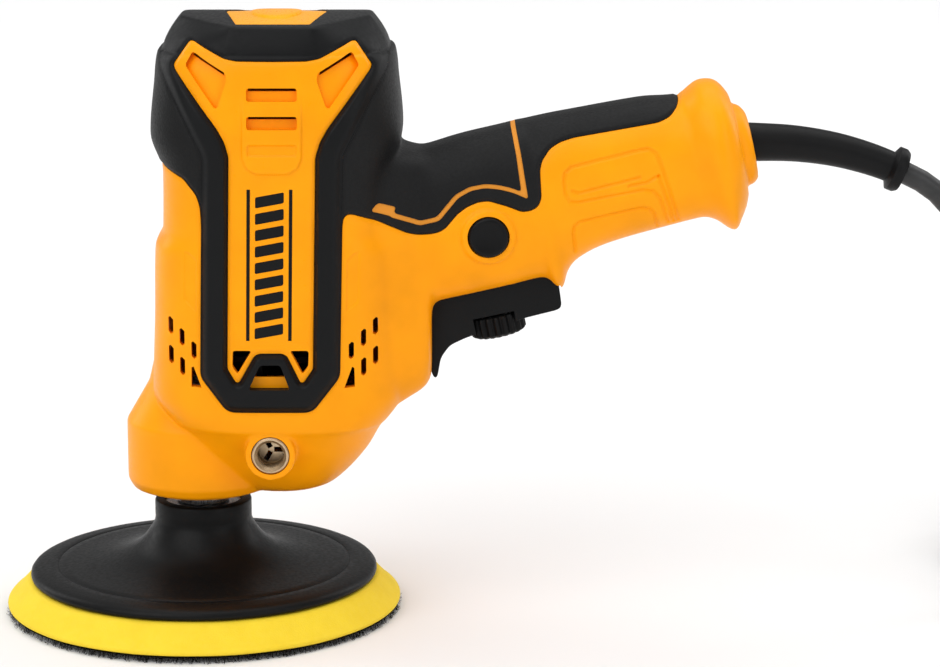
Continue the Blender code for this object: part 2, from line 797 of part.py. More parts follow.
def make_armature():
    """Shaft with a cut pinion, laminated core, end windings, commutator and cooling fan."""
    shaft = rod("armature_shaft", 4.0, 62.4, 164.0, CUTTERS, 20)
    teeth = [
        (x * math.cos(math.pi + PHASE) - y * math.sin(math.pi + PHASE),
         x * math.sin(math.pi + PHASE) + y * math.cos(math.pi + PHASE))
        for x, y in gear_outline(PINION_TEETH, 0.22)
    ]
    join(shaft, slab("pinion", [teeth], GEAR_LOW - 0.8, 62.8, CUTTERS, upright=False))
    place_on_motor(shaft, "armature_shaft", steel)

    slots = []
    for i in range(12):
        for angle, radius in ((-0.2, 16.8), (0.2, 16.8), (0.23, 14.4), (0.3, 14.4)):
            turn = math.pi / 6 * i + angle
            slots.append((radius * math.cos(turn), radius * math.sin(turn)))
    core = slab("armature_core", [slots, circle(4.0 + GAP, 20)], 94.0, 128.0, CUTTERS, upright=False)
    place_on_motor(core, "armature_core", steel)

    upper = ((4.3, 136.4), (9.6, 136.4), (13.2, 133.6), (13.6, 130.0), (12.6, 128.3), (4.3, 128.3))
    place_on_motor(turned("winding", upper, CUTTERS, 20, True), "armature_winding_upper", copper)
    lower = ((4.3, 93.7), (12.6, 93.7), (13.4, 91.4), (12.0, 88.2), (4.3, 87.4))
    place_on_motor(turned("winding", lower, CUTTERS, 20, True), "armature_winding_lower", copper)
    drum = ring("commutator", 4.3, 11.0, 138.4, 152.4, CUTTERS, 24)
    place_on_motor(drum, "commutator", copper)
    place_on_motor(fan_shape(), "cooling_fan", black_plastic)


def fan_shape():
    """A back plate with curved blades under it."""
    profile = ((4.3, 86.4), (26.0, 86.4), (26.0, 84.8), (9.0, 84.8), (7.6, 76.8), (4.3, 76.8))
    fan = turned("fan", profile, CUTTERS, 28, True)
    blades = []
    for i in range(9):
        turn = 2 * math.pi * i / 9
        blade = []
        for radius, lean in ((8.2, -0.07), (25.4, 0.3), (25.4, 0.37), (8.2, 0.12)):
            blade.append((radius * math.cos(turn + lean), radius * math.sin(turn + lean)))
        blades.append(slab("blade", [blade], 77.6, 85.2, CUTTERS, upright=False))
    return join(fan, group("blades", blades))


def place_on_motor(shape, name, finish):
    """Put a shape made about the Z axis on the motor's axis, as a part with its origin there."""
    shape.matrix_world = Matrix.Translation((MOTOR_X * MM, 0, 0)) @ shape.matrix_world
    bpy.context.view_layer.update()
    return publish(shape, name, finish)


# ---------------------------------------------------------------- bearings, plates and stator

def make_bearings():
    bearings = (
        ("spindle_lower_bearing", 0.0, SPINDLE_RADIUS, 15.0, 42.4, 51.4),
        ("spindle_upper_bearing", 0.0, SPINDLE_TIP_RADIUS, 11.0, 64.2, 71.2),
        ("motor_lower_bearing", MOTOR_X, 4.0, 11.0, 64.2, 71.2),
        ("motor_upper_bearing", MOTOR_X, 4.0, 11.0, 156.4, 163.4),
    )
    for name, x, bore, outer, low, high in bearings:
        made = ring(name, bore + GAP, outer, low, high, PARTS)
        made.location.x = x * MM
        bpy.context.view_layer.update()
        paint(made, steel(name))


def make_plates():
    """The two cast plates that hold the bearings, and the felt ring under the spindle bearing."""
    profile = (
        (15.3, 52.4), (20.6, 52.4), (20.6, 45.6), (19.0, 42.8), (16.0, 41.3), (11.5, 41.3), (11.5, 42.1),
        (15.3, 42.1),
    )
    paint(turned("lower_bearing_plate", profile, PARTS, 28, True), aluminium("lower_bearing_plate"))

    plate = rod("plate", 17.4, 62.6, 66.0, CUTTERS, 28)
    discs = ((MOTOR_X, 21.0, 62.8, 65.8), (MOTOR_X, 13.0, 64.0, 72.0), (0.0, 13.0, 64.0, 72.2))
    for x, radius, low, high in discs:
        disc = rod("disc", radius, low, high, CUTTERS, 24)
        disc.location.x = x * MM
        bpy.context.view_layer.update()
        join(plate, disc)
    for x, hole in ((0.0, 6.0), (MOTOR_X, 6.5)):
        pocket = rod("pocket", 11.4, 63.9, 80, CUTTERS, 24)
        through = rod("through", hole, 50, 80, CUTTERS, 16)
        pocket.location.x = x * MM
        through.location.x = x * MM
        bpy.context.view_layer.update()
        cut(plate, pocket, through)
    for side in (-1, 1):
        low, high = sorted((40 * side, 21.6 * side))
        cut(plate, along_y("clearance", 8.4, NUT_X, NUT_Z, low, high))
    publish(plate, "gear_plate", aluminium)

    seal = ring("felt_seal", 5.4, 12.0, 38.9, 40.6, PARTS)
    paint(seal, grey_felt("felt_seal"))


def make_stator():
    """A laminated ring with two poles, and a field coil round each pole's neck."""
    core = ring("stator_core", 24.6, STATOR_RADIUS, STATOR_LOW, STATOR_HIGH, CUTTERS, 32)
    for side in (-1, 1):
        for name, half, near, far in (("neck", 9.0, 15.0, 26.0), ("shoe", 13.5, 11.0, 18.2)):
            low, high = sorted((side * near, side * far))
            join(core, box(name, (-half, low, STATOR_LOW), (half, high, STATOR_HIGH), CUTTERS))
    cut(core, rod("armature_room", 17.5, 80, 140, CUTTERS, 32))
    place_on_motor(core, "stator_core", steel)

    for name, side in (("field_coil_front", -1), ("field_coil_rear", 1)):
        low, high = sorted((side * 18.5, side * 20.8))
        outer = ((-12.2, 87.8), (12.2, 87.8), (12.2, 133.4), (-12.2, 133.4))
        inner = ((-9.4, 91.4), (9.4, 91.4), (9.4, 129.6), (-9.4, 129.6))
        coil = slab("coil", [outer, inner], low, high, CUTTERS)
        place_on_motor(coil, name, copper)


def make_brush_gear():
    """The plate over the commutator with its bearing cup, and two sprung carbon brushes."""
    plate = ring("brush_frame", 8.0, 28.2, 153.2, 156.0, CUTTERS, 28)
    cup = turned("cup", ((11.4, 163.0), (13.6, 163.0), (13.6, 155.0), (11.4, 155.0)), CUTTERS, 24, True)
    place_on_motor(join(plate, cup), "brush_frame", black_plastic)

    for side, word in ((-1, "left"), (1, "right")):
        start = MOTOR_X + side * 12.2
        end = MOTOR_X + side * 28.2
        low, high = sorted((start, end))
        holder = box("holder", (low, -5.0, BRUSH_Z - 4.6), (high, 5.0, BRUSH_Z + 4.6), CUTTERS)
        cut(holder, box("channel", (low - 5, -3.6, BRUSH_Z - 3.2), (high + 5, 3.6, BRUSH_Z + 3.2), CUTTERS))
        publish(holder, f"brush_holder_{word}", brass)

        tip, back = sorted((MOTOR_X + side * 11.4, MOTOR_X + side * 21.0))
        brush = box(f"carbon_brush_{word}", (tip, -3.2, BRUSH_Z - 2.8), (back, 3.2, BRUSH_Z + 2.8), PARTS)
        paint(brush, carbon(brush.name))

        turns, points = 3, 6
        coil = []
        for i in range(turns * points + 1):
            angle = 2 * math.pi * i / points
            x = MOTOR_X + side * (21.9 + 5.4 * i / (turns * points))
            coil.append((x, 2.1 * math.cos(angle), BRUSH_Z + 2.1 * math.sin(angle)))
        spring = tube(f"brush_spring_{word}", coil, 0.5, PARTS, sides=1)
        paint(spring, steel(spring.name))


# ---------------------------------------------------------------- handle controls

def make_switch():
    """The switch block in the handle, drawn square to the tilted handle."""
    outline = [handle_point(s, 0, v) for s, v in ((96, 93), (128, 93), (128, 112), (96, 112))]
    block = slab("switch_body", [[(x, z) for x, _, z in outline]], -9.4, 9.4, CUTTERS)
    hole = rod("plunger_hole", 3.5, 0, 12, CUTTERS, 16)
    lay_along(hole, handle_up(), handle_point(112.0, 0, 88.0))
    cut(block, hole)
    publish(block, "switch_body", black_plastic)


def handle_up():
    return (-math.sin(HANDLE_TILT), 0, math.cos(HANDLE_TILT))


def make_trigger():
    """The trigger with its plunger, and the speed wheel in a notch under it."""
    trigger = slab("trigger", [TRIGGER_OUTLINE], -TRIGGER_HALF, TRIGGER_HALF, CUTTERS)
    plunger = lay_along(rod("plunger", 3.1, 0, 12.0, CUTTERS, 16), handle_up(), handle_point(112.0, 0, 82.0))
    notch = rod("notch", DIAL_RADIUS + 0.5, -10, DIAL_HIGH_V - DIAL_LOW_V + 0.4, CUTTERS, 32)
    lay_along(notch, handle_up(), handle_point(DIAL_S, 0, DIAL_LOW_V))
    socket = lay_along(rod("socket", 2.4, 0, 6, CUTTERS, 16), handle_up(), handle_point(DIAL_S, 0, 72))
    join(trigger, plunger)
    cut(trigger, notch, socket)
    publish(trigger, "trigger", black_plastic)

    wheel_outline = []
    for i in range(18):
        turn = 2 * math.pi * i / 18
        for offset, radius in ((-0.07, DIAL_RADIUS), (0.07, DIAL_RADIUS), (0.13, DIAL_RADIUS - 0.6)):
            wheel_outline.append((radius * math.cos(turn + offset), radius * math.sin(turn + offset)))
    thick = DIAL_HIGH_V - DIAL_LOW_V
    wheel = slab("wheel", [wheel_outline], -thick / 2, thick / 2, CUTTERS, upright=False)
    join(wheel, rod("pin", 2.0, 0, thick / 2 + 3.5, CUTTERS, 16))
    lay_along(wheel, handle_up(), handle_point(DIAL_S, 0, DIAL_LOW_V + thick / 2))
    publish(wheel, "speed_dial", black_plastic)


def make_lock_button():
    """A push button through the front shell, with a flange that stops it inside the wall."""
    profile = (
        (0, 6.0), (4.8, 6.0), (BUTTON_RADIUS, 5.0), (BUTTON_RADIUS, 0), (7.3, 0), (7.3, -1.2),
        (2.6, -1.2), (2.6, -1.6), (0, -1.6),
    )
    button = turned("lock_button", profile, PARTS, 20)
    lay_along(button, (0, -1, 0), (BUTTON_X, -13.8, BUTTON_Z))
    paint(button, black_plastic("lock_button"))


# ---------------------------------------------------------------- cord

def smooth_route(points, spacing):
    """Points about a spacing apart on a smooth curve through hand-placed route points."""
    route = [Vector(p) for p in points]
    ends = [2 * route[0] - route[1]] + route + [2 * route[-1] - route[-2]]
    dense = []
    for a, b, c, d in zip(ends, ends[1:], ends[2:], ends[3:]):
        for i in range(20):
            t = i / 20
            bend = (2 * a - 5 * b + 4 * c - d) * t * t + (3 * b - a - 3 * c + d) * t ** 3
            dense.append(0.5 * (2 * b + (c - a) * t + bend))
    dense.append(route[-1])
    kept = [dense[0]]
    for point in dense:
        if (point - kept[-1]).length >= spacing:
            kept.append(point)
    if (dense[-1] - kept[-1]).length < spacing / 2:
        kept.pop()
    kept.append(dense[-1])
    return kept


RELIEF_ROUTE = (
    (161.5, 0, 149.5), (174.0, 0, 149.5), (186.0, 0, 149.0), (198.0, 0, 147.2), (209.0, 0, 144.2),
    (219.5, 0, 140.2),
)
CORD_ROUTE = (
    (220.0, 0.0, 139.9), (226.0, 0.0, 136.8), (232.5, 0.0, 131.6), (237.6, 0.0, 124.0), (240.8, 0.0, 114.0),
    (242.4, 0.0, 102.0), (243.2, 0.0, 88.0), (243.4, 0.0, 72.0), (243.6, 0.0, 56.0), (244.4, 0.0, 41.0),
    (247.0, 0.0, 27.5), (251.6, 0.0, 16.6), (258.2, 0.0, 8.8), (266.0, 0.0, 4.8), (273.0, 0.0, 3.6),
)


def make_relief():
    """The moulded sleeve that leaves the handle, with a flange inside and a bead at its end."""
    route = smooth_route(RELIEF_ROUTE, 5.0)
    tapers = [1.0 - 0.26 * i / (len(route) - 1) for i in range(len(route))]
    relief = tube("strain_relief", route, 6.3, CUTTERS, tapers, sides=3)
    flange = lay_along(rod("flange", 9.0, 0, 4.4, CUTTERS, 24), (1, 0, 0), (162.0, 0, 149.5))
    bead_axis = (Vector(RELIEF_ROUTE[-1]) - Vector(RELIEF_ROUTE[-2])).normalized()
    bead_place = Vector(RELIEF_ROUTE[-1]) - bead_axis * 4.0
    bead = turned("bead", ((0, 4.1), (6.2, 4.1), (7.0, 3.2), (7.0, 1.0), (6.2, 0.0), (0, 0.0)), CUTTERS, 24)
    lay_along(bead, bead_axis, bead_place)
    join(relief, flange, bead)
    publish(relief, "strain_relief", black_rubber)

    clamp = box("cord_clamp", (151.0, -11.0, 143.0), (158.0, 11.0, 154.0), CUTTERS)
    stub = lay_along(rod("stub", CORD_RADIUS, 0, 30, CUTTERS, 20), (1, 0, 0), (140.0, 0, 149.5))
    cut(clamp, stub)
    publish(clamp, "cord_clamp", pale_plastic)


def make_cord():
    """The free cord down to the floor, its coil with a tie, and the plug lying on the coil."""
    cord = tube("power_cord", smooth_route(CORD_ROUTE, 8.0), CORD_RADIUS, PARTS)
    paint(cord, black_rubber("power_cord"))

    chamfer = 2.0
    inside, outside, top = COIL_INNER + chamfer, COIL_OUTER - chamfer, COIL_HEIGHT - chamfer
    profile = (
        (COIL_OUTER, top), (COIL_OUTER, chamfer), (outside, 0), (inside, 0),
        (COIL_INNER, chamfer), (COIL_INNER, top), (inside, COIL_HEIGHT), (outside, COIL_HEIGHT),
    )
    coil = turned("power_cord_coil", profile, CUTTERS, 28, True)
    coil.location = Vector((COIL_X, COIL_Y, 0)) * MM
    bpy.context.view_layer.update()
    notch = box("notch", (COIL_X + 20, COIL_Y - 4.6, -2), (COIL_X + 60, COIL_Y + 4.6, 1.3), CUTTERS)
    cut(coil, notch)
    publish(coil, "power_cord_coil", black_rubber)

    inner, outer = COIL_X + COIL_INNER - 0.8, COIL_X + COIL_OUTER + 0.4
    loop_inner = ((inner, 0.9), (outer, 0.9), (outer, COIL_HEIGHT + 0.4), (inner, COIL_HEIGHT + 0.4))
    tie = slab("coil_tie", [grown(loop_inner, 0.8), loop_inner], COIL_Y - 4.0, COIL_Y + 4.0, PARTS)
    paint(tie, black_rubber("coil_tie"))
    make_plug()


def make_plug():
    """A moulded two-pin plug on top of the coil, its pins towards -X."""
    y = COIL_Y + 38.5
    sections = (
        (24.0, 4.6, 4.6, 2.0), (12.0, 6.0, 6.0, 2.0), (0.0, 9.0, 8.0, 2.2), (-8.0, 15.0, 11.0, 2.4),
        (-18.0, 17.0, 12.0, 2.6), (-22.0, 17.0, 12.0, 2.6),
    )
    rings = []
    for x, half_y, half_z, power in sections:
        section = superellipse(half_y, half_z, power, 20)
        rings.append([(COIL_X + x, y + a, PLUG_HEIGHT + b) for a, b in section])
    body = loft("plug_body", rings, CUTTERS)
    pins = []
    for side in (-1, 1):
        place = (COIL_X - 22.0 + 6.0, y + side * 9.5, PLUG_HEIGHT)
        pins.append(lay_along(rod("pin_hole", 2.4 + GAP, 0, 12, CUTTERS, 16), (-1, 0, 0), place))
    cut(body, group("pin_holes", pins))
    publish(body, "plug_body", black_plastic)
    for side, word in ((-1, "front"), (1, "rear")):
        pin = turned(f"plug_pin_{word}", ((0, 24.7), (1.6, 24.7), (2.4, 23.4), (2.4, 0), (0, 0)), PARTS, 16)
        lay_along(pin, (-1, 0, 0), (COIL_X - 22.0 + 5.7, y + side * 9.5, PLUG_HEIGHT))
        paint(pin, brass(pin.name))


# ---------------------------------------------------------------- build

clear_scene()
PARTS = new_collection("rotary_polisher")
CUTTERS = new_collection("cutters")
PHASE = math.pi / PINION_TEETH

make_shells()
make_skins()
make_cap_insert()
make_side_handle_nuts()
make_screws()
make_pad()
make_spindle()
make_armature()
make_bearings()
make_plates()
make_stator()
make_brush_gear()
make_switch()
make_trigger()
make_lock_button()
make_relief()
make_cord()
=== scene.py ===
"""Looks of the rotary polisher: fine outer surfaces, finishes, cord, floor, light and camera."""
import contextlib
import math
import random

import bmesh
import bpy
import numpy as np
from mathutils import Matrix, Vector


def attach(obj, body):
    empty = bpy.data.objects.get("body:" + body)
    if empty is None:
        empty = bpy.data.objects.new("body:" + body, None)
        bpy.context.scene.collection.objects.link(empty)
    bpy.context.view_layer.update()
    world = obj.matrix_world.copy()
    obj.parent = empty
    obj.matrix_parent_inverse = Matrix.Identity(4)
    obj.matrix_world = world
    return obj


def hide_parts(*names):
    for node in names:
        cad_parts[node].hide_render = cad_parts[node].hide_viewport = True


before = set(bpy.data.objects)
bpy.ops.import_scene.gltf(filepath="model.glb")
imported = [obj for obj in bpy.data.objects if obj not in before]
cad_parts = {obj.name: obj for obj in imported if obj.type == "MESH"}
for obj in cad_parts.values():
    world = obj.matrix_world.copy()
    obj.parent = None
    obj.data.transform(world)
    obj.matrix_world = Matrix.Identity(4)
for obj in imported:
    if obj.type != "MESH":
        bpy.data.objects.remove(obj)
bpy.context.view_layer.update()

MM = 0.001
MIDDLE = 24.8  # X of the motor's axis
VOXEL = 0.55  # grid of the fine housing surface
SKIN = 1.9  # depth of the black and orange outer skins
WALL = 3.0  # depth at which the housing is hollow
SEAM = 0.12  # half the gap between neighbouring skins
FRAME_SEAM = 0.03  # the same at the frame's outer edge, which fits closely
PROUD = 1.7  # how far the black frame stands out of the barrel
CORNER = 1.2  # rounding of the skins' outlines
PANEL_CORNER = 0.8
TILT = math.radians(12.0)  # the handle's frame, s along it and v across it, is turned by this about Y

# Barrel sections, bottom to top: height, half width in X, half depth in Y, squareness
BARREL = (
    (40.3, 12.0, 11.5, 2.2), (41.8, 15.8, 15.2, 2.3), (45.0, 19.9, 19.2, 2.4), (54.0, 27.6, 26.0, 2.7),
    (63.4, 33.2, 32.2, 3.0), (64.4, 34.2, 33.0, 3.1), (74.0, 39.5, 33.8, 3.3), (98.0, 38.6, 34.0, 3.4),
    (119.3, 38.0, 34.0, 3.4), (125.0, 35.5, 34.0, 3.4), (143.0, 35.2, 34.0, 3.4),
    (154.5, 38.6, 33.8, 3.4), (170.0, 37.3, 32.6, 3.2), (179.6, 36.0, 30.8, 3.0),
    (180.2, 34.5, 29.9, 3.0),
)
BARREL_MIDDLE = 25.3
# The cap's roof: height along the middle, fall to the front and rear, reach in X, in Y and at the corners
RIDGE = 190.1
FALL_FRONT = 1.9
FALL_REAR = 3.1
ROOF_X = 28.9
ROOF_Y = 26.6
ROOF_CORNER = 27.1
CORNER_WAY = (0.739, 0.674)
# Handle sections along s: place, lowest v, highest v, half width, squareness
HANDLE = (
    (66.0, 84.0, 129.0, 21.0, 2.8), (98.0, 82.2, 130.2, 18.8, 2.8), (112.0, 82.2, 131.4, 17.8, 2.8),
    (126.5, 82.6, 131.8, 17.4, 2.7), (129.4, 81.6, 132.0, 17.2, 2.7), (131.4, 77.7, 132.0, 17.2, 2.5),
    (133.2, 78.2, 132.0, 17.2, 2.5), (135.2, 82.4, 132.0, 17.0, 2.6), (139.0, 86.0, 132.0, 16.9, 2.6),
    (150.0, 89.0, 131.8, 16.5, 2.5), (168.0, 90.4, 131.2, 16.6, 2.5), (180.0, 90.9, 129.7, 17.2, 2.4),
    (184.2, 89.1, 131.7, 19.2, 2.35), (187.1, 86.0, 132.9, 20.6, 2.3), (189.4, 84.7, 132.7, 21.0, 2.3),
    (191.8, 87.9, 131.9, 20.2, 2.3), (194.0, 91.4, 129.4, 18.2, 2.3), (195.4, 94.6, 126.6, 15.8, 2.2),
)
END_CAP = (
    (190.0, 97.4, 124.4, 13.6, 2.1), (197.5, 97.6, 122.8, 12.6, 2.1), (199.5, 99.4, 119.8, 10.6, 2.1),
)
# Web between barrel and handle: place in X, lowest z, highest z, half width
WEB = (
    (26.0, 62.0, 150.0, 31.0), (46.0, 63.0, 150.0, 29.6), (57.0, 65.8, 149.6, 25.6),
    (66.5, 70.6, 148.2, 20.4), (71.0, 73.6, 147.0, 17.8), (72.9, 76.8, 146.0, 16.6),
)
HEAD = (
    (0, 84.0), (13.9, 84.0), (16.3, 74.0), (23.5, 61.6), (23.5, 43.2), (22.1, 40.6), (18.5, 39.2),
    (0, 39.2),
)

# Outlines seen from the front, in X and Z; the halves are measured from the motor's axis
PANEL_HALF = (
    (0.0, 89.6), (3.4, 89.6), (5.0, 88.8), (9.3, 80.5), (10.4, 80.5), (13.1, 84.8), (13.1, 150.0),
    (14.4, 154.4), (16.6, 158.4), (29.6, 175.8), (29.9, 177.2), (25.2, 183.9), (23.9, 184.1),
    (14.4, 179.4), (10.6, 178.7), (0.0, 178.6),
)
FRAME_HALF = (
    (0.0, 71.1), (11.4, 71.1), (13.6, 72.0), (20.8, 81.4), (21.3, 83.2), (21.3, 150.0), (34.6, 176.0),
    (34.6, 180.0),
)
TRAPEZE = ((-6.3, 78.6), (6.3, 78.6), (3.1, 86.4), (-3.1, 86.4))
TRIANGLE = ((5.8, 90.6), (11.6, 90.6), (11.6, 85.6), (9.9, 83.2))
WINDOW = (
    (23.9, 181.2), (26.2, 177.2), (17.2, 164.6), (16.3, 164.9), (13.5, 173.0), (13.8, 175.2),
    (18.6, 178.0),
)
PAD_HALF = ((0.0, 144.6), (5.0, 144.6), (8.0, 146.4), (9.3, 149.6), (9.3, 176.0), (0.0, 176.0))
RECESS = ((-7.6, 150.2), (7.6, 150.2), (7.6, 154.0), (-7.6, 154.0))
SIDE_PANEL = ((22.6, 101.6), (26.9, 105.4), (26.9, 120.8), (25.4, 120.8), (22.6, 118.4))
GRIP_LEFT = ((-30.0, 145.6), (-9.0, 145.6), (-2.0, 142.8), (2.0, 138.2), (3.2, 134.6))
GRIP_RIGHT = (
    (46.4, 131.0), (47.6, 132.3), (49.4, 132.2), (56.3, 129.4), (65.5, 124.6), (68.6, 123.8),
    (72.0, 123.8), (75.0, 124.3), (77.1, 125.4), (81.0, 130.0), (84.0, 132.2), (87.4, 133.6),
    (90.6, 133.9), (96.4, 132.2), (100.7, 130.5), (103.4, 130.8), (105.6, 132.0), (106.7, 134.6),
    (106.2, 143.2), (106.8, 146.0), (109.2, 149.6), (112.3, 151.6), (116.5, 152.9), (142.5, 157.6),
    (146.0, 159.2), (148.4, 162.0), (149.4, 165.2), (148.0, 172.0),
)
STRIPE = (
    (54.6, 132.4), (56.7, 134.8), (62.3, 133.0), (61.6, 131.2), (69.6, 128.1), (74.6, 129.2),
    (80.2, 135.9), (84.6, 138.3), (89.4, 139.2), (93.4, 138.9), (97.4, 138.0), (100.5, 136.8),
    (98.9, 147.8), (95.2, 166.0), (96.6, 166.0), (100.4, 148.2), (102.7, 134.4), (98.2, 136.4),
    (93.8, 137.5), (89.4, 137.9), (85.2, 137.1), (81.2, 134.9), (75.4, 127.9), (69.4, 126.6),
    (60.8, 129.9), (60.4, 130.4),
)
TRIGGER_SLOT = (
    (71.9, 74.8), (74.0, 74.8), (118.0, 88.0), (114.6, 97.4), (113.8, 103.6), (112.3, 106.9),
    (108.6, 107.8), (79.0, 103.1), (75.8, 101.6), (73.4, 98.4), (72.3, 93.0),
)
SLOTS = (160.4, 168.8)  # heights of the panel's slots
# Shallow lines in the handle's side, in the handle's own frame, s and v
HANDLE_LINES = (
    ((172.4, 93.0), (170.4, 111.6), (169.6, 115.6), (167.6, 117.6), (164.8, 117.8), (143.4, 117.0),
     (141.2, 115.8), (140.2, 113.4), (139.9, 109.0), (140.6, 106.6), (143.4, 105.8), (163.6, 105.4),
     (166.4, 104.4), (168.0, 101.8), (169.2, 93.0)),
    ((142.2, 109.6), (143.8, 108.6), (163.2, 109.4)),
    ((159.4, 107.5), (165.2, 107.5), (168.8, 108.8)),
    ((168.8, 108.8), (169.6, 104.0), (170.9, 93.0)),
    ((139.2, 90.4), (139.8, 96.6), (140.6, 98.6), (142.4, 99.6), (161.6, 99.9), (164.2, 99.0),
     (165.4, 96.8), (165.6, 92.4)),
)
SCREWS = (
    (-10.4, 106.0), (-9.8, 159.0), (57.8, 159.0), (43.2, 50.6), (64.4, 84.0), (122.4, 123.6),
    (147.5, 131.0),
)
BUTTON = (90.5, 122.8)
NUT = (23.5, 57.2)

# Depths in the relief of the skins
GROOVE = 0.42  # along every seam
GRIP_SWELL = 0.25
TOP_LINE = 0.3
PAD_SWELL = 0.7
RECESS_DEPTH = 0.65
SIDE_DEPTH = 0.35
LINE_DEPTH = 0.6
BUTTON_RING = 1.15
PANEL_LINE = 0.12

TRIGGER = (
    (72.2, 79.6), (73.4, 76.2), (74.6, 76.2), (75.7, 82.6), (78.5, 86.5), (83.5, 88.9), (101.8, 95.2),
    (112.4, 97.9), (113.4, 99.2), (112.6, 104.6), (110.5, 112.4), (73.6, 104.4), (72.4, 98.0),
)
DIAL_S = 110.5  # the speed wheel's place in the handle's frame
DIAL_V = 67.3
DIAL_RADIUS = 8.75

# Cord: the part's own route, with a gentler turn where it meets the floor
CORD_RADIUS = 3.5
COIL = (300.0, 45.5)
COIL_OUTER = 45.5
COIL_INNER = 31.5
PLUG_Y = 84.0
PLUG_Z = 33.5
PIN_SIDE = 9.5  # from the plug's middle to each pin
SLEEVE_SEAT = (162.0, 0, 149.5)  # the sleeve's flange, inside the handle's end
RELIEF_ROUTE = (
    (161.5, 0, 149.5), (174.0, 0, 149.5), (186.0, 0, 149.0), (198.0, 0, 147.2), (209.0, 0, 144.2),
    (219.5, 0, 140.2),
)
CORD_ROUTE = (
    (220.0, 0.0, 139.9), (226.0, 0.0, 136.8), (232.5, 0.0, 131.6), (237.6, 0.0, 124.0),
    (240.8, 0.0, 114.0), (242.4, 0.0, 102.0), (243.2, 0.0, 88.0), (243.4, 0.0, 72.0),
    (243.6, 0.0, 56.0), (244.0, 0.0, 41.5), (245.4, 0.0, 28.9), (248.8, 0.0, 20.6), (254.1, 0.0, 13.6),
    (261.0, 0.0, 8.2), (269.2, 0.0, 4.7), (278.0, 0.0, 3.5),
)

ORANGE = (0.98, 0.345, 0.001)
BLACK = (0.0045, 0.0046, 0.0049)

AMBIENT = 0.42  # light from all round; the camera sees it at full strength
SUNS = (  # name, where it shines from, its spread in degrees, strength
    ("key", (-0.55, -0.85, 0.95), 55.0, 1.35),
    ("over", (0.2, 0.15, 1.4), 60.0, 1.25),
)
LAMPS = (  # name, place in metres, width and height, power in watts
    ("right", (1.3, -1.2, 0.8), (0.8, 1.4), 5.0),
    ("back_left", (-1.4, 0.9, 0.9), (0.6, 1.4), 6.0),
    ("back_right", (1.4, 0.9, 0.9), (0.6, 1.4), 6.0),
)
LOOK_AT = (0.06, 0.0, 0.1)  # metres


# ---------------------------------------------------------------- finishes

def fill(node, **values):
    """Set a node's inputs; an underscore stands for a space in an input's name."""
    for key, value in values.items():
        node.inputs[key.replace("_", " ")].default_value = value
    return node


class Finish:
    """A node material that grows node by node."""

    def __init__(self, name, roughness=0.5, metallic=0.0, shine=None):
        self.material = bpy.data.materials.new(name)
        self.material.use_nodes = True
        self.tree = self.material.node_tree
        self.shader = self.tree.nodes["Principled BSDF"]
        fill(self.shader, Roughness=roughness, Metallic=metallic)
        if shine is not None:
            fill(self.shader, Specular_IOR_Level=shine)
        self.place = self.add("ShaderNodeTexCoord").outputs["Object"]

    def add(self, kind, **settings):
        node = self.tree.nodes.new(kind)
        for key, value in settings.items():
            setattr(node, key, value)
        return node

    def link(self, source, target):
        self.tree.links.new(source, target)

    def noise(self, scale, detail=3.0, stretch=None):
        node = fill(self.add("ShaderNodeTexNoise"), Scale=scale, Detail=detail)
        self.link(self.stretched(stretch), node.inputs["Vector"])
        return node.outputs["Fac"]

    def cells(self, scale, feature="F1"):
        node = fill(self.add("ShaderNodeTexVoronoi", feature=feature), Scale=scale)
        self.link(self.place, node.inputs["Vector"])
        return node.outputs["Distance"]

    def stretched(self, stretch):
        if stretch is None:
            return self.place
        mapping = fill(self.add("ShaderNodeMapping"), Scale=stretch)
        self.link(self.place, mapping.inputs["Vector"])
        return mapping.outputs["Vector"]

    def colour(self, factor, low, high, spread=0.2):
        node = self.add("ShaderNodeValToRGB")
        places = (0.5 - spread, 0.5 + spread)
        for element, place, colour in zip(node.color_ramp.elements, places, (low, high)):
            element.position = place
            element.color = (*colour, 1.0)
        self.link(factor, node.inputs["Fac"])
        self.link(node.outputs["Color"], self.shader.inputs["Base Color"])

    def rough(self, factor, low, high):
        node = fill(self.add("ShaderNodeMapRange"), From_Min=0.3, From_Max=0.7, To_Min=low, To_Max=high)
        self.link(factor, node.inputs["Value"])
        self.link(node.outputs["Result"], self.shader.inputs["Roughness"])

    def bump(self, *layers):
        """Each layer is a height, a strength and a depth in millimetres."""
        normal = None
        for height, strength, depth in layers:
            node = fill(self.add("ShaderNodeBump"), Strength=strength, Distance=depth * MM)
            self.link(height, node.inputs["Height"])
            if normal:
                self.link(normal, node.inputs["Normal"])
            normal = node.outputs["Normal"]
        self.link(normal, self.shader.inputs["Normal"])


def dimmed(colour, amount):
    return tuple(value * amount for value in colour)


def moulded(name, colour, roughness, grain, depth, contrast=0.06, shine=0.13):
    """Moulded plastic or rubber: a slight drift of colour, fine spark grain and broad waves in it."""
    made = Finish(name, roughness, shine=shine)
    made.colour(made.noise(60.0), dimmed(colour, 1 - contrast), dimmed(colour, 1 + contrast))
    made.rough(made.noise(900.0, 4.0), roughness - 0.06, roughness + 0.08)
    made.bump((made.noise(grain, 2.0), 0.55, depth), (made.noise(120.0, 2.0), 0.25, 0.05))
    return made.material


def stippled(name, colour, roughness, cell, depth):
    """Soft over-moulding with a pebbled touch surface."""
    made = Finish(name, roughness, shine=0.2)
    made.colour(made.noise(90.0), dimmed(colour, 0.85), dimmed(colour, 1.2))
    made.rough(made.noise(1200.0, 3.0), roughness - 0.08, roughness + 0.06)
    made.bump((made.cells(cell, "SMOOTH_F1"), 0.6, depth), (made.noise(2600.0, 2.0), 0.4, depth / 2))
    return made.material


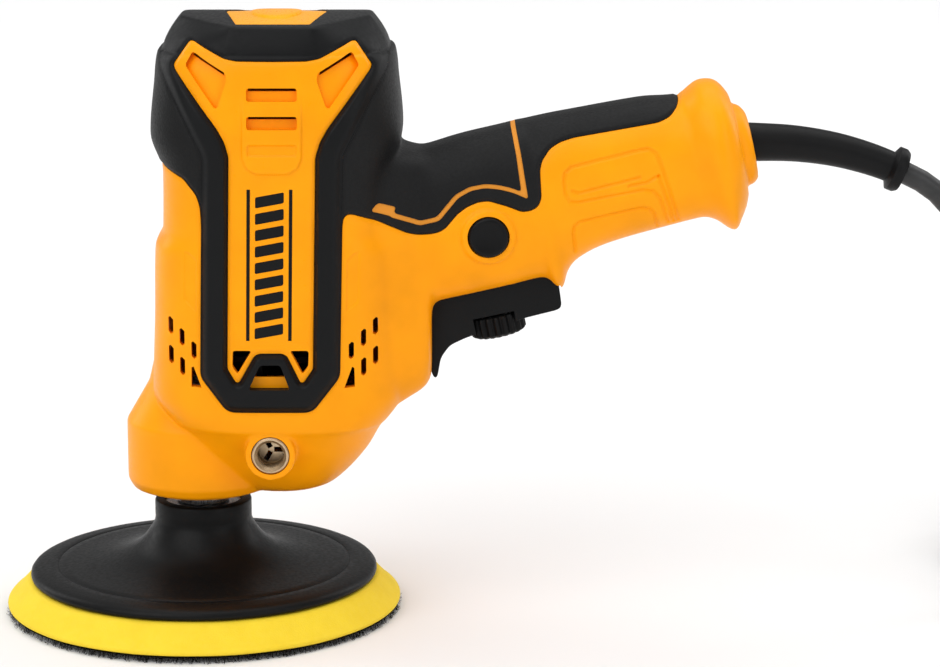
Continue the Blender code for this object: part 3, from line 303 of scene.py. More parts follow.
def metal(name, colour, roughness, stretch=(1.0, 1.0, 40.0), scale=500.0, wear=0.25):
    """Machined or drawn metal with directional marks and a few dull patches."""
    made = Finish(name, roughness, 1.0)
    made.colour(made.noise(70.0, 5.0), dimmed(colour, 1 - wear), colour, 0.15)
    made.rough(made.noise(scale, 4.0, stretch), roughness - 0.08, roughness + 0.14)
    made.bump((made.noise(scale, 3.0, stretch), 0.3, 0.03))
    return made.material


def foam_finish(name):
    made = Finish(name, 0.85)
    made.colour(made.noise(140.0, 5.0), (0.84, 0.60, 0.018), (0.88, 0.645, 0.024))
    made.rough(made.noise(700.0), 0.74, 0.92)
    fill(made.shader, Subsurface_Weight=0.08, Subsurface_Radius=(0.6, 0.5, 0.1), Subsurface_Scale=0.001)
    made.bump((made.cells(2300.0), 0.35, 0.12), (made.noise(420.0, 3.0), 0.3, 0.12))
    return made.material


def winding_finish(name):
    """Varnished copper wire laid in rows."""
    made = Finish(name, 0.32, 0.85)
    rows = made.add("ShaderNodeTexWave", bands_direction="Z")
    fill(rows, Scale=320.0, Distortion=1.6, Detail_Scale=6.0)
    made.link(made.place, rows.inputs["Vector"])
    made.colour(made.noise(160.0, 4.0), (0.34, 0.085, 0.03), (0.62, 0.21, 0.08))
    made.bump((rows.outputs["Fac"], 0.8, 0.35))
    return made.material


def laminated_finish(name):
    made = Finish(name, 0.42, 0.9)
    rows = fill(made.add("ShaderNodeTexWave", bands_direction="Z", wave_profile="SAW"), Scale=300.0)
    made.link(made.place, rows.inputs["Vector"])
    made.colour(made.noise(120.0, 5.0), (0.16, 0.15, 0.14), (0.3, 0.29, 0.28))
    made.bump((rows.outputs["Fac"], 0.7, 0.2))
    return made.material


def fibre_finish(name, colour):
    made = Finish(name, 0.95, shine=0.1)
    made.colour(made.noise(900.0, 5.0), dimmed(colour, 0.6), dimmed(colour, 1.3))
    made.rough(made.noise(300.0), 0.85, 1.0)
    made.bump((made.noise(2400.0, 4.0), 0.9, 0.25))
    return made.material


def cord_finish(name):
    made = Finish(name, 0.44)
    made.colour(made.noise(150.0, 4.0), (0.012, 0.012, 0.012), (0.022, 0.022, 0.023))
    made.rough(made.noise(500.0, 4.0), 0.36, 0.54)
    made.bump((made.noise(260.0, 3.0), 0.25, 0.12), (made.noise(3000.0, 2.0), 0.3, 0.02))
    return made.material


# ---------------------------------------------------------------- meshes

def new_object(name, mesh):
    made = bpy.data.objects.new(name, mesh)
    bpy.context.scene.collection.objects.link(made)
    return made


@contextlib.contextmanager
def editing(mesh):
    """The mesh as a bmesh, written back at the end."""
    bm = bmesh.new()
    bm.from_mesh(mesh)
    yield bm
    bm.to_mesh(mesh)
    bm.free()


def solid(name, points, faces):
    """A mesh object from points in millimetres."""
    mesh = bpy.data.meshes.new(name)
    mesh.from_pydata([(x * MM, y * MM, z * MM) for x, y, z in points], [], faces)
    mesh.validate()
    with editing(mesh) as bm:
        bmesh.ops.recalc_face_normals(bm, faces=bm.faces)
    return new_object(name, mesh)


def quads(rows, count, rows_closed, ring_closed):
    """The faces between rows of equally many points."""
    faces = []
    for k in range(rows if rows_closed else rows - 1):
        low, high = k * count, (k + 1) % rows * count
        for i in range(count if ring_closed else count - 1):
            j = (i + 1) % count
            faces.append((low + i, low + j, high + j, high + i))
    return faces


def loft(name, rings, closed=False):
    """A solid through rings of equally many points; a closed one is a loop of rings."""
    count = len(rings[0])
    points = [point for ring in rings for point in ring]
    faces = quads(len(rings), count, closed, True)
    if not closed:
        faces.append(tuple(range(count)))
        faces.append(tuple(range(len(points) - count, len(points))))
    return solid(name, points, faces)


def prism(name, outline, low, high, upright=True):
    """A plate of one outline: upright ones lie in XZ and run along Y, the others lie in XY."""
    if upright:
        rings = [[(x, y, z) for x, z in outline] for y in (low, high)]
    else:
        rings = [[(x, y, z) for x, y in outline] for z in (low, high)]
    return loft(name, rings)


def turned(name, profile, steps=96, closed=False, wave=None):
    """A turned shape about Z from radius and height pairs. Ends on the axis are closed by fans."""
    rings = []
    for i in range(steps):
        angle = 2 * math.pi * i / steps
        c, s = math.cos(angle), math.sin(angle)
        rings.append([(r * c, r * s, z + (wave(r, angle) if wave else 0)) for r, z in profile])
    points = [point for ring in rings for point in ring]
    made = solid(name, points, quads(steps, len(profile), True, closed))
    with editing(made.data) as bm:
        bmesh.ops.remove_doubles(bm, verts=bm.verts, dist=0.000002)
        bmesh.ops.recalc_face_normals(bm, faces=bm.faces)
    return made


def rod(name, radius, low, high, steps=48):
    return turned(name, ((0, high), (radius, high), (radius, low), (0, low)), steps)


def along_y(name, radius, x, z, low, high, steps=48):
    made = rod(name, radius, low, high, steps)
    made.data.transform(Matrix.Translation((x * MM, 0, z * MM)) @ Matrix.Rotation(-math.pi / 2, 4, "X"))
    return made


def baked(target):
    """The object with its modifiers applied."""
    bpy.context.view_layer.update()
    graph = bpy.context.evaluated_depsgraph_get()
    mesh = bpy.data.meshes.new_from_object(target.evaluated_get(graph))
    target.modifiers.clear()
    target.data = mesh
    return target


def combine(target, tool, operation, keep=False):
    modifier = target.modifiers.new("combine", "BOOLEAN")
    modifier.operation = operation
    modifier.solver = "MANIFOLD"
    modifier.object = tool
    baked(target)
    if not keep:
        bpy.data.objects.remove(tool, do_unlink=True)
    return target


def cut(target, *tools):
    for tool in tools:
        combine(target, tool, "DIFFERENCE")
    return target


def merged(name, shapes):
    """Several objects as one mesh of separate shells."""
    bm = bmesh.new()
    for shape in shapes:
        bm.from_mesh(shape.data)
        bpy.data.objects.remove(shape, do_unlink=True)
    mesh = bpy.data.meshes.new(name)
    bm.to_mesh(mesh)
    bm.free()
    return new_object(name, mesh)


def remeshed(target, voxel):
    modifier = target.modifiers.new("voxels", "REMESH")
    modifier.mode = "VOXEL"
    modifier.voxel_size = voxel * MM
    return baked(target)


def duplicate(source, name):
    return new_object(name, source.data.copy())


def mirrored(source):
    """The same piece on the other side of the parting plane."""
    made = duplicate(source, "rear")
    made.data.transform(Matrix.Scale(-1, 4, (0, 1, 0)))
    made.data.flip_normals()
    return made


def bevelled(target, width, segments=3):
    modifier = target.modifiers.new("bevel", "BEVEL")
    modifier.width = width * MM
    modifier.segments = segments
    modifier.limit_method = "ANGLE"
    modifier.angle_limit = math.radians(30)
    modifier.harden_normals = False
    return baked(target)


def smooth(target, angle=38):
    target.data.shade_smooth()
    target.data.set_sharp_from_angle(angle=math.radians(angle))
    return target


def values_of(collection, key, width, kind=float):
    flat = np.empty(len(collection) * width, dtype=kind)
    collection.foreach_get(key, flat)
    return flat.reshape(-1, width)


def positions(mesh):
    return values_of(mesh.vertices, "co", 3) / MM


def move_points(mesh, points):
    mesh.vertices.foreach_set("co", (points * MM).ravel())
    mesh.update()


def relaxed(points, edges, rounds, weight=1.0):
    """Points drawn towards the middle of their neighbours, by a weight each."""
    first, second = edges[:, 0], edges[:, 1]
    count = np.bincount(edges.ravel(), minlength=len(points))[:, None]
    for _ in range(rounds):
        total = np.empty_like(points)
        for k in range(3):
            total[:, k] = np.bincount(first, points[second, k], len(points))
            total[:, k] += np.bincount(second, points[first, k], len(points))
        points = points + 0.5 * weight * (total / count - points)
    return points


def edge_table(mesh):
    return values_of(mesh.edges, "vertices", 2, np.int32)


def normals_of(mesh):
    return values_of(mesh.vertex_normals, "vector", 3, np.float32).astype(float)


# ---------------------------------------------------------------- outlines

def ease(value, width):
    """0 at or below nothing, 1 from the width on, smooth between."""
    t = np.clip(value / width, 0.0, 1.0)
    return t * t * (3 - 2 * t)


def filled_in(rows, step):
    """Section rows filled in between by monotone cubics."""
    table = np.array(rows, dtype=float)
    spans = np.diff(table[:, 0])[:, None]
    slopes = np.diff(table, axis=0) / spans
    tangents = np.zeros_like(table)
    tangents[0], tangents[-1] = slopes[0], slopes[-1]
    before, after = slopes[:-1], slopes[1:]
    a, b = 2 * spans[1:] + spans[:-1], spans[1:] + 2 * spans[:-1]
    product = before * after
    safe = np.where(product > 0, product, 1.0)
    tangents[1:-1] = np.where(product > 0, (a + b) * safe / (a * after + b * before + (product <= 0)), 0.0)
    made = []
    for k, span in enumerate(spans[:, 0]):
        count = max(1, math.ceil(span / step))
        for i in range(count):
            t = i / count
            row = (2 * t ** 3 - 3 * t ** 2 + 1) * table[k] + (t ** 3 - 2 * t ** 2 + t) * span * tangents[k]
            row += (3 * t ** 2 - 2 * t ** 3) * table[k + 1] + (t ** 3 - t ** 2) * span * tangents[k + 1]
            made.append(row)
    return made + [table[-1]]


def superellipse(half_a, half_b, power, count=128):
    points = []
    for i in range(count):
        angle = 2 * math.pi * (i + 0.5) / count
        c, s = math.cos(angle), math.sin(angle)
        a = half_a * math.copysign(abs(c) ** (2 / power), c)
        points.append((a, half_b * math.copysign(abs(s) ** (2 / power), s)))
    return points


def middle_at(z):
    """The panel's and the frame's middle line, which leans a little: lower parts sit nearer the spindle."""
    return MIDDLE + float(np.interp(z, (78.0, 92.0, 105.0, 155.0), (-1.2, -0.6, -0.4, 0.5)))


def both_sides(half):
    right = [(middle_at(z) + x, z) for x, z in half]
    return right + [(middle_at(z) - x, z) for x, z in reversed(half) if x > 0]


def rectangle(left, right, low, high):
    return ((left, low), (right, low), (right, high), (left, high))


def placed(outline, side=1):
    return [(middle_at(z) + side * x, z) for x, z in outline]


def grown(outline, amount):
    """Every side of a closed outline moved outwards."""
    count = len(outline)
    area = sum(outline[i - 1][0] * outline[i][1] - outline[i][0] * outline[i - 1][1] for i in range(count))
    side = amount if area > 0 else -amount
    moved = []
    for i in range(count):
        before, here, after = (Vector(outline[(i + k) % count]) for k in (-1, 0, 1))
        first = (here - before).normalized()
        second = (after - here).normalized()
        across = Vector((first.y + second.y, -first.x - second.x))
        moved.append(tuple(here + across * (side / max(1 + first.dot(second), 0.4))))
    return moved


def softened(outline, radius, steps=4):
    """A closed outline with its corners rounded."""
    made = []
    count = len(outline)
    for i in range(count):
        before, here, after = (Vector(outline[(i + k) % count]) for k in (-1, 0, 1))
        start = here + (before - here).normalized() * min(radius, (before - here).length * 0.45)
        end = here + (after - here).normalized() * min(radius, (after - here).length * 0.45)
        for k in range(steps + 1):
            t = k / steps
            made.append(tuple(start * (1 - t) ** 2 + here * (2 * t * (1 - t)) + end * t ** 2))
    return made


def to_segments(points, path, closed):
    """Distance of each point to a path."""
    best = np.full(len(points), 1e9)
    ends = list(zip(path, path[1:])) + ([(path[-1], path[0])] if closed else [])
    for a, b in ends:
        a, d = np.array(a), np.array(b) - np.array(a)
        t = np.clip(((points - a) @ d) / (d @ d + 1e-12), 0, 1)
        gap = points - a - t[:, None] * d
        best = np.minimum(best, gap[:, 0] ** 2 + gap[:, 1] ** 2)
    return np.sqrt(best)


def within(points, outline):
    """Distance of each point inside a closed outline, negative outside."""
    inside = np.zeros(len(points), dtype=bool)
    for a, b in zip(outline, outline[1:] + outline[:1]):
        rises = (a[1] > points[:, 1]) != (b[1] > points[:, 1])
        crossing = (b[0] - a[0]) * (points[:, 1] - a[1]) / (b[1] - a[1] + 1e-12) + a[0]
        inside ^= rises & (points[:, 0] < crossing)
    gap = to_segments(points, outline, True)
    return np.where(inside, gap, -gap)


def handle_point(s, y, v):
    c, d = math.cos(TILT), math.sin(TILT)
    return (s * c - v * d, y, s * d + v * c)


PANEL = both_sides(PANEL_HALF)
FRAME_OUTLINE = both_sides(FRAME_HALF)
OVER_THE_TOP = [(100.0, 180.0), (100.0, 230.0), (-60.0, 230.0), (-60.0, 180.0)]
FRAME_ZONE = FRAME_OUTLINE[:8] + OVER_THE_TOP + FRAME_OUTLINE[8:]
LOW_RIGHT = placed(FRAME_HALF[1:5] + ((21.3, 128.0),))
LOW_LEFT = placed(tuple(reversed(FRAME_HALF[1:5] + ((21.3, 129.0),))), -1)
ZONE = LOW_RIGHT + list(GRIP_RIGHT) + [(148.0, 205.0), (-30.0, 205.0)] + list(GRIP_LEFT) + LOW_LEFT
PAD = both_sides(PAD_HALF)
HANDLE_PATHS = [[handle_point(s, 0, v)[::2] for s, v in line] for line in HANDLE_LINES]


# ---------------------------------------------------------------- housing surface

def rough_body():
    """The bare volume of the housing: barrel, gear head, handle, its end cap, web and nut bosses."""
    def barrel_ring(z, half_x, half_y, power):
        return [(BARREL_MIDDLE + x, y, z) for x, y in superellipse(half_x, half_y, power, 180)]

    def handle_ring(s, low, high, half, power):
        section = superellipse(half, (high - low) / 2, power)
        return [handle_point(s, y, (low + high) / 2 + v) for y, v in section]

    def web_ring(x, low, high, half):
        section = superellipse(half, (high - low) / 2, 4.5)
        return [(x, y, (low + high) / 2 + z) for y, z in section]

    barrel = [barrel_ring(*row) for row in filled_in(BARREL, 1.0)]
    parts = [loft("barrel", barrel + cap_rings(barrel[-1]))]
    for rows, ring in ((HANDLE, handle_ring), (END_CAP, handle_ring), (WEB, web_ring)):
        parts.append(loft("handle", [ring(*row) for row in filled_in(rows, 1.5)]))
    parts.append(turned("head", HEAD, 128))
    parts.append(along_y("boss", 7.8, *NUT, -32.5, 32.5))
    return remeshed(merged("body", parts), VOXEL)


def cap_rings(below):
    """Sections of the cap: from the barrel's rounded outline to an eight-sided roof with a low ridge."""
    start = [(x - BARREL_MIDDLE, y) for x, y, _ in below]
    shoulder = BARREL[-1][0]
    roof = []
    for x, y in start:
        reach = math.hypot(x, y)
        c, s = abs(x) / reach, abs(y) / reach
        corner = CORNER_WAY[0] * c + CORNER_WAY[1] * s
        edge = min(ROOF_X / max(c, 0.01), ROOF_Y / max(s, 0.01), ROOF_CORNER / corner)
        roof.append((x / reach * edge, y / reach * edge))
    rings = []
    for k in range(1, 13):
        t = k / 12
        blend = t ** 1.5
        ring = []
        for (x, y), (far_x, far_y) in zip(start, roof):
            x, y = x + (far_x - x) * blend, y + (far_y - y) * blend
            ring.append((BARREL_MIDDLE + x, y, shoulder + t * (roof_height(y) - shoulder)))
        rings.append(ring)
    for k in range(19, 0, -1):
        ring = [(x * k / 20, y * k / 20) for x, y in roof]
        rings.append([(BARREL_MIDDLE + x, y, roof_height(y)) for x, y in ring])
    return rings


def roof_height(y):
    return RIDGE - (FALL_FRONT if y < 0 else FALL_REAR) * (abs(y) / ROOF_Y) ** 1.4


def relief(points, normals):
    """How far each point moves along its normal, and outwards in Y, for all the moulded detail."""
    flat = points[:, (0, 2)]
    facing = ease(np.abs(normals[:, 1]) - 0.25, 0.35)
    frame_depth = within(flat, softened(FRAME_OUTLINE, 2.0))
    panel_depth = within(flat, softened(PANEL, PANEL_CORNER))
    zone_depth = within(flat, softened(ZONE, CORNER))
    fade = ease(188.0 - points[:, 2], 26.0)
    band = ease(frame_depth, 2.6) * ease(-panel_depth - 0.1, 1.3)
    outward = PROUD * fade * band
    outward *= np.abs(normals[:, 1]) > 0.2

    edge = np.minimum(np.abs(zone_depth), np.abs(panel_depth))
    along = -GROOVE * (1 - ease(edge, 0.95))
    along += GRIP_SWELL * ease(zone_depth - 0.4, 0.8) * (frame_depth < -0.4)
    over_barrel = (np.abs(points[:, 0] - MIDDLE) < 33.0) * (normals[:, 2] < 0.9)
    along -= TOP_LINE * (1 - ease(np.abs(points[:, 2] - 180.0) + 10.0 * over_barrel, 0.8))

    detail = PAD_SWELL * ease(within(flat, softened(PAD, 1.0)), 0.7) * ease(170.0 - points[:, 2], 12.0)
    detail -= RECESS_DEPTH * ease(within(flat, softened(placed(RECESS), 0.8)), 0.6)
    for side in (1, -1):
        detail -= SIDE_DEPTH * ease(within(flat, softened(placed(SIDE_PANEL, side), 0.8)), 0.6)
    for path in HANDLE_PATHS:
        detail -= LINE_DEPTH * (1 - ease(to_segments(flat, path, False), 0.8))
    from_button = np.hypot(flat[:, 0] - BUTTON[0], flat[:, 1] - BUTTON[1])
    detail += BUTTON_RING * ease(8.9 - from_button, 1.0)
    detail -= PANEL_LINE * (1 - ease(np.abs(flat[:, 1] - 92.4), 0.5)) * (panel_depth > 0.8)
    return along + detail * facing, outward


def make_body():
    """The fine outer surface, closed and solid, with the two smaller bodies that hollow it out."""
    body = rough_body()
    mesh = body.data
    edges = edge_table(mesh)
    points = positions(mesh)
    crisp = np.maximum(ease(points[:, 2] - 177.0, 2.0), 1 - ease(points[:, 2] - 66.0, 4.0))
    points = relaxed(points, edges, 7, (1 - 0.6 * crisp)[:, None])
    near_web = ease(points[:, 0] - 50.0, 12.0) * ease(88.0 - points[:, 0], 14.0)
    between = ease(170.0 - points[:, 2], 14.0) * ease(points[:, 2] - 74.0, 6.0)
    points = relaxed(points, edges, 60, (near_web * between)[:, None])
    move_points(mesh, points)
    refine(mesh)
    edges, points, normals = edge_table(mesh), positions(mesh), normals_of(mesh)
    inner = []
    for name, inset, voxel in (("seat", SKIN, 1.5), ("hollow", WALL, 1.8)):
        shape = duplicate(body, name)
        remeshed(shape, voxel)
        shape_points = relaxed(positions(shape.data), edge_table(shape.data), 2)
        move_points(shape.data, shape_points)
        move_points(shape.data, shape_points - inset * normals_of(shape.data))
        inner.append(remeshed(shape, voxel))
    along, outward = relief(points, normals)
    points = points + along[:, None] * normals
    points[:, 1] += outward * np.sign(points[:, 1])
    move_points(mesh, relaxed(points, edges, 1, 0.6))
    return body, inner[0], inner[1]


def refine(mesh):
    """Split the faces near the soft skins' shallow lines, so that the relief there is crisp."""
    points = positions(mesh)
    flat = points[:, (0, 2)]
    outlines = [PAD, placed(RECESS), placed(SIDE_PANEL), placed(SIDE_PANEL, -1)]
    distances = [np.abs(within(flat, outline)) for outline in outlines]
    distances += [to_segments(flat, path, False) for path in HANDLE_PATHS]
    near = (np.minimum.reduce(distances) < 1.2) & (points[:, 2] < 178.0)
    with editing(mesh) as bm:
        bm.verts.ensure_lookup_table()
        chosen = [edge for edge in bm.edges if near[edge.verts[0].index] and near[edge.verts[1].index]]
        bmesh.ops.subdivide_edges(bm, edges=chosen, cuts=1, use_grid_fill=True)


def both_walls(name, outline):
    return prism(name, outline, -80, 80)


def walls(outline, amount, radius=CORNER):
    """Upright walls round an outline that is moved outwards and has its corners rounded."""
    return both_walls("walls", softened(grown(outline, amount), radius))


def stripe_walls(amount):
    return both_walls("stripe", grown(softened(STRIPE, CORNER), amount))


def louvre_cutters():
    """The panel's slots, windows and vents, as outlines."""
    shapes = [placed(rectangle(-7.6, 7.6, z - 2, z + 2)) for z in SLOTS]
    for side in (1, -1):
        shapes.append(placed(TRIANGLE, side))
        shapes.append(placed(WINDOW, side))
    return [softened(shape, 0.9) for shape in shapes]


def slits():
    """What is open behind the panel and the frame: the windows' upper edges and the lower vents."""
    shapes = [placed(((-4.9, 82.0), (4.9, 82.0), (3.2, 86.2), (-3.2, 86.2)))]
    slit = ((23.3, 180.7), (23.9, 179.9), (18.3, 176.8), (14.2, 174.3), (14.4, 175.3), (18.4, 177.7))
    for side in (1, -1):
        shapes.append(placed(TRIANGLE, side))
        shapes.append(placed(slit, side))
    return shapes


def slot_slits():
    """The open upper edge of both slots. Only the front shell has them."""
    return [placed(rectangle(-7.2, 7.2, z + 0.9, z + 1.9)) for z in SLOTS]


def flank_vents():
    """Three rising columns of two vents on each flank; the first one is only the part that shows."""
    shapes = []
    for side in (1, -1):
        for column, x in enumerate((24.0, 27.7, 31.3)):
            for row, height in enumerate((2.9, 2.75)):
                z = 81.2 + 3.15 * column + 9.1 * row + (0.6 if column else 0)
                outline = (
                    (-0.8, 0.5 - height), (0.0, -height), (0.8, 0.9 - height),
                    (0.8, height - 0.4), (0.2, height), (-0.8, height - 0.9),
                )
                if column == 0 and row == 0:
                    outline = ((-2.2, -2.6), (1.0, -2.4), (0.9, 3.6), (0.2, 4.0))
                shapes.append([(MIDDLE - 0.2 + side * (x + a), z + b) for a, b in outline])
    return shapes


def publish(piece, name, body, finish, slot, *nodes):
    """Name a finished piece, give it its material and body, and let it stand for its CAD nodes."""
    piece.name = name
    piece.data.name = name
    piece.data.materials.clear()
    piece.data.materials.append(finish)
    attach(piece, body)
    if nodes:
        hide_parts(*nodes)
    return piece


def make_housing():
    """Every outer piece of the housing is cut from one fine surface or from its skin."""
    smooth_black = moulded("black_frame", (0.0060, 0.0063, 0.0068), 0.42, 1500.0, 0.03)
    body, seat, hollow = make_body()
    skin = combine(duplicate(body, "skin"), seat, "DIFFERENCE", keep=True)
    front = prism("front", rectangle(-200, 400, 0, 400), -90, -0.05)
    make_frame(skin, smooth_black)
    combine(skin, front, "INTERSECT", keep=True)
    make_panels(skin, smooth_black)
    make_grips(skin)
    make_stripes(skin)
    make_shells(body, seat, hollow, front)


def make_frame(skin, finish):
    piece = combine(duplicate(skin, "frame"), walls(FRAME_ZONE, -FRAME_SEAM), "INTERSECT")
    cut(piece, walls(PANEL, SEAM, PANEL_CORNER), both_walls("trapeze", softened(placed(TRAPEZE), 1.0)))
    cut(piece, prism("insert", grown(insert_outline(), 0.25), 180, 200, upright=False))
    publish(smooth(piece), "top_bumper", "housing", finish, "black_plastic", "top_frame")


def make_panels(skin, inlay_finish):
    panel = combine(duplicate(skin, "panel"), walls(PANEL, -SEAM, PANEL_CORNER), "INTERSECT")
    cut(panel, merged("openings", [both_walls("opening", shape) for shape in louvre_cutters()]))
    inlay = combine(duplicate(skin, "inlay"), inlay_walls(-0.04), "INTERSECT")
    cut(panel, inlay_walls(0.04))
    finish = moulded("orange_panel", ORANGE, 0.33, 1700.0, 0.018)
    publish_pair(panel, "vent_panel_look", finish, "orange_plastic", "vent_panel")
    publish_pair(inlay, "panel_inlay", inlay_finish, "black_plastic")


def make_grips(skin):
    """The soft grips over the handle, and the soft pads over the barrel's flanks."""
    grips = combine(duplicate(skin, "grips"), walls(ZONE, -SEAM), "INTERSECT")
    cut(grips, walls(FRAME_ZONE, FRAME_SEAM), stripe_walls(0.02))
    flank = prism("flank", rectangle(-60, 24, 100, 200), -80, 0)
    pad = combine(duplicate(grips, "pad"), flank, "INTERSECT", keep=True)
    cut(grips, flank)
    finish = stippled("black_overmould", BLACK, 0.56, 1500.0, 0.10)
    publish_pair(pad, "side_pad_look", finish, "black_rubber", "side_pad", screw=1)
    publish_pair(grips, "grip_look", finish, "black_rubber", "grip", screw=2)


def make_stripes(skin):
    """The line inlaid in the grips lies a little below their surface."""
    stripe = combine(skin, stripe_walls(-0.02), "INTERSECT")
    stripe.data.transform(Matrix.Translation((0, 0.3 * MM, 0)))
    finish = moulded("orange_stripe", (0.72, 0.27, 0.03), 0.5, 1900.0, 0.02)
    publish_pair(stripe, "grip_stripe", finish, "orange_plastic")


def make_shells(body, seat, hollow, front):
    """Both half shells; the rear one lets the screws in, the front one holds the button."""
    shell = cut(body, walls(ZONE, SEAM))
    combine(shell, seat, "UNION")
    cut(shell, hollow)
    combine(shell, front, "INTERSECT")
    make_shell_openings(shell)
    rear = mirrored(shell)
    cut(shell, along_y("button_hole", 6.5, *BUTTON, -40, -8), vent_cutters(slot_slits()))
    cut(rear, merged("sinks", [along_y("sink", 3.5, x, z, 11.0, 60.0, 24) for x, z in SCREWS]))
    finish = moulded("orange_moulding", ORANGE, 0.36, 1900.0, 0.02)
    publish_sides(shell, rear, "shell", finish, "orange_plastic", "housing")


def vent_cutters(shapes):
    return merged("vents", [prism("vent", shape, -60, -18) for shape in shapes])


def make_shell_openings(shell):
    cut(shell, vent_cutters(flank_vents() + slits()))
    cut(shell, rod("spindle_hole", 12.6, 30, 45), along_y("nut_hole", 5.95, *NUT, -60, -10))
    cut(shell, prism("trigger_slot", softened(TRIGGER_SLOT, 2.0), -8.6, 5))
    cut(shell, laid(rod("relief_hole", 6.9, 150, 200), (1, 0, 0), (0, 0, SLEEVE_SEAT[2])))


def publish_pair(front, look, finish, slot, node=None, screw=None):
    """A front piece and its mirror image, which also lets a shell screw through."""
    rear = mirrored(front)
    if screw:
        cut(rear, along_y("sink", 3.8, *SCREWS[screw], 8.0, 60.0, 24))
    publish_sides(front, rear, look, finish, slot, node)


def publish_sides(front, rear, look, finish, slot, node=None):
    for piece, word in ((front, "front"), (rear, "rear")):
        nodes = [f"{node}_{word}"] if node else []
        publish(smooth(piece), f"{look}_{word}", "housing", finish, slot, *nodes)


def insert_outline():
    half = ((-11.0, -22.4), (11.0, -22.4), (15.6, 0.0), (11.0, 22.4), (-11.0, 22.4), (-15.6, 0.0))
    return [(BARREL_MIDDLE + x, y) for x, y in half]


def inlay_walls(extra):
    """The dark inlay of the panel: two upright lines, and a column of slanted bars between them."""
    shapes = [placed(rectangle(x - 0.5, x + 0.5, 93.7, 140.3)) for x in (-7.0, 5.8)]
    for row in range(9):
        z = 94.2 + 5.05 * row
        bar = ((-4.9, z), (3.7, z + 1.6), (3.7, z + 4.9), (-4.9, z + 3.3))
        shapes.append(softened(placed(bar), 0.5, 3))
    return merged("inlays", [both_walls("inlay", grown(shape, extra)) for shape in shapes])


# ---------------------------------------------------------------- fittings on the housing

def laid(target, axis, place):
    """Turn a shape made about Z along another axis, and move it to its place."""
    turn = Vector((0, 0, 1)).rotation_difference(Vector(axis)).to_matrix().to_4x4()
    target.data.transform(Matrix.Translation(Vector(place) * MM) @ turn)
    return target


def make_insert():
    """The insert follows the cap's roof, with a low oval dome in its middle."""
    outline = softened(insert_outline(), 1.4)
    half_width = 14.8
    rings = [[(x, y, roof_height(y) - 1.5) for x, y in outline]]
    steps = ((0.4, 0.0), (0.12, 0.1), (0.0, 0.4), (0.0, 2.0), (0.0, 4.0), (0.0, 7.0), (0.0, 9.5))
    for depth, inset in steps:
        scale = 1 - inset / half_width
        ring = [(BARREL_MIDDLE + (x - BARREL_MIDDLE) * scale, y * scale) for x, y in outline]
        rings.append([(x, y, roof_height(y) - depth) for x, y in ring])
    plate = loft("insert", rings)
    dome = ((-0.6, 8.0, 12.0), (0.0, 8.0, 12.0), (0.4, 7.6, 11.5), (0.6, 6.4, 10.0), (0.6, 3.0, 5.0))
    rings = []
    for rise, half_x, half_y in dome:
        oval = superellipse(half_x, half_y, 2.0, 64)
        rings.append([(BARREL_MIDDLE + x, y, roof_height(y) + rise) for x, y in oval])
    combine(plate, loft("dome", rings), "UNION")
    finish = moulded("insert_orange", (1.0, 0.40, 0.004), 0.3, 1700.0, 0.005)
    publish(smooth(plate), "crown_insert", "housing", finish, "orange_plastic", "top_insert")


def make_nuts():
    """Brass bushes with an annular thread and a chamfered mouth, closed inside by a slotted disc."""
    brass = metal("threaded_brass", (0.62, 0.47, 0.30), 0.3, (1.0, 30.0, 1.0), 300.0, 0.25)
    for word, side in (("front", -1), ("rear", 1)):
        profile = [(0, 0), (5.7, 0.0), (5.7, 9.25), (5.35, 9.6), (4.95, 9.6)]
        for k in range(8):
            profile += [(4.55, 9.1 - 1.05 * k), (4.1, 8.6 - 1.05 * k)]
        profile += [(4.1, 0.9), (0, 0.9)]
        nut = turned("nut", profile, 64)
        for turn in (30, 150, 270):
            slot = prism("slot", rectangle(-0.8, 0.8, 0.7, 3.9), -1, 3, upright=False)
            slot.data.transform(Matrix.Rotation(math.radians(turn), 4, "Z"))
            cut(nut, slot)
        laid(nut, (0, side, 0), (NUT[0], side * 23.2, NUT[1]))
        node = f"side_handle_nut_{word}"
        publish(smooth(nut, 30), f"handle_bush_{word}", "housing", brass, "brass", node)


def make_screws():
    """Cross-headed screws with a coarse thread, driven from the rear."""
    steel = metal("screw_steel", (0.42, 0.42, 0.43), 0.3)
    profile = [(0, 2.2), (1.6, 2.2), (2.6, 2.05), (3.0, 1.7), (3.0, 0), (1.7, 0)]
    for k in range(14):
        profile += [(1.7, -1.0 - 1.35 * k), (1.3, -1.5 - 1.35 * k), (1.7, -2.0 - 1.35 * k)]
    profile += [(0.4, -20.9), (0, -21.0)]
    for number, (x, z) in enumerate(SCREWS, 1):
        screw = turned("screw", profile, 40)
        for long_x, long_y in ((1.7, 0.4), (0.4, 1.7)):
            cut(screw, prism("arm", rectangle(-long_x, long_x, -long_y, long_y), 0.9, 4, upright=False))
        laid(screw, (0, 1, 0), (x, 9.3, z))
        node = f"housing_screw_{number}"
        publish(smooth(screw, 30), f"shell_screw_{number}", "housing", steel, "steel", node)


def handle_up():
    return (-math.sin(TILT), 0, math.cos(TILT))


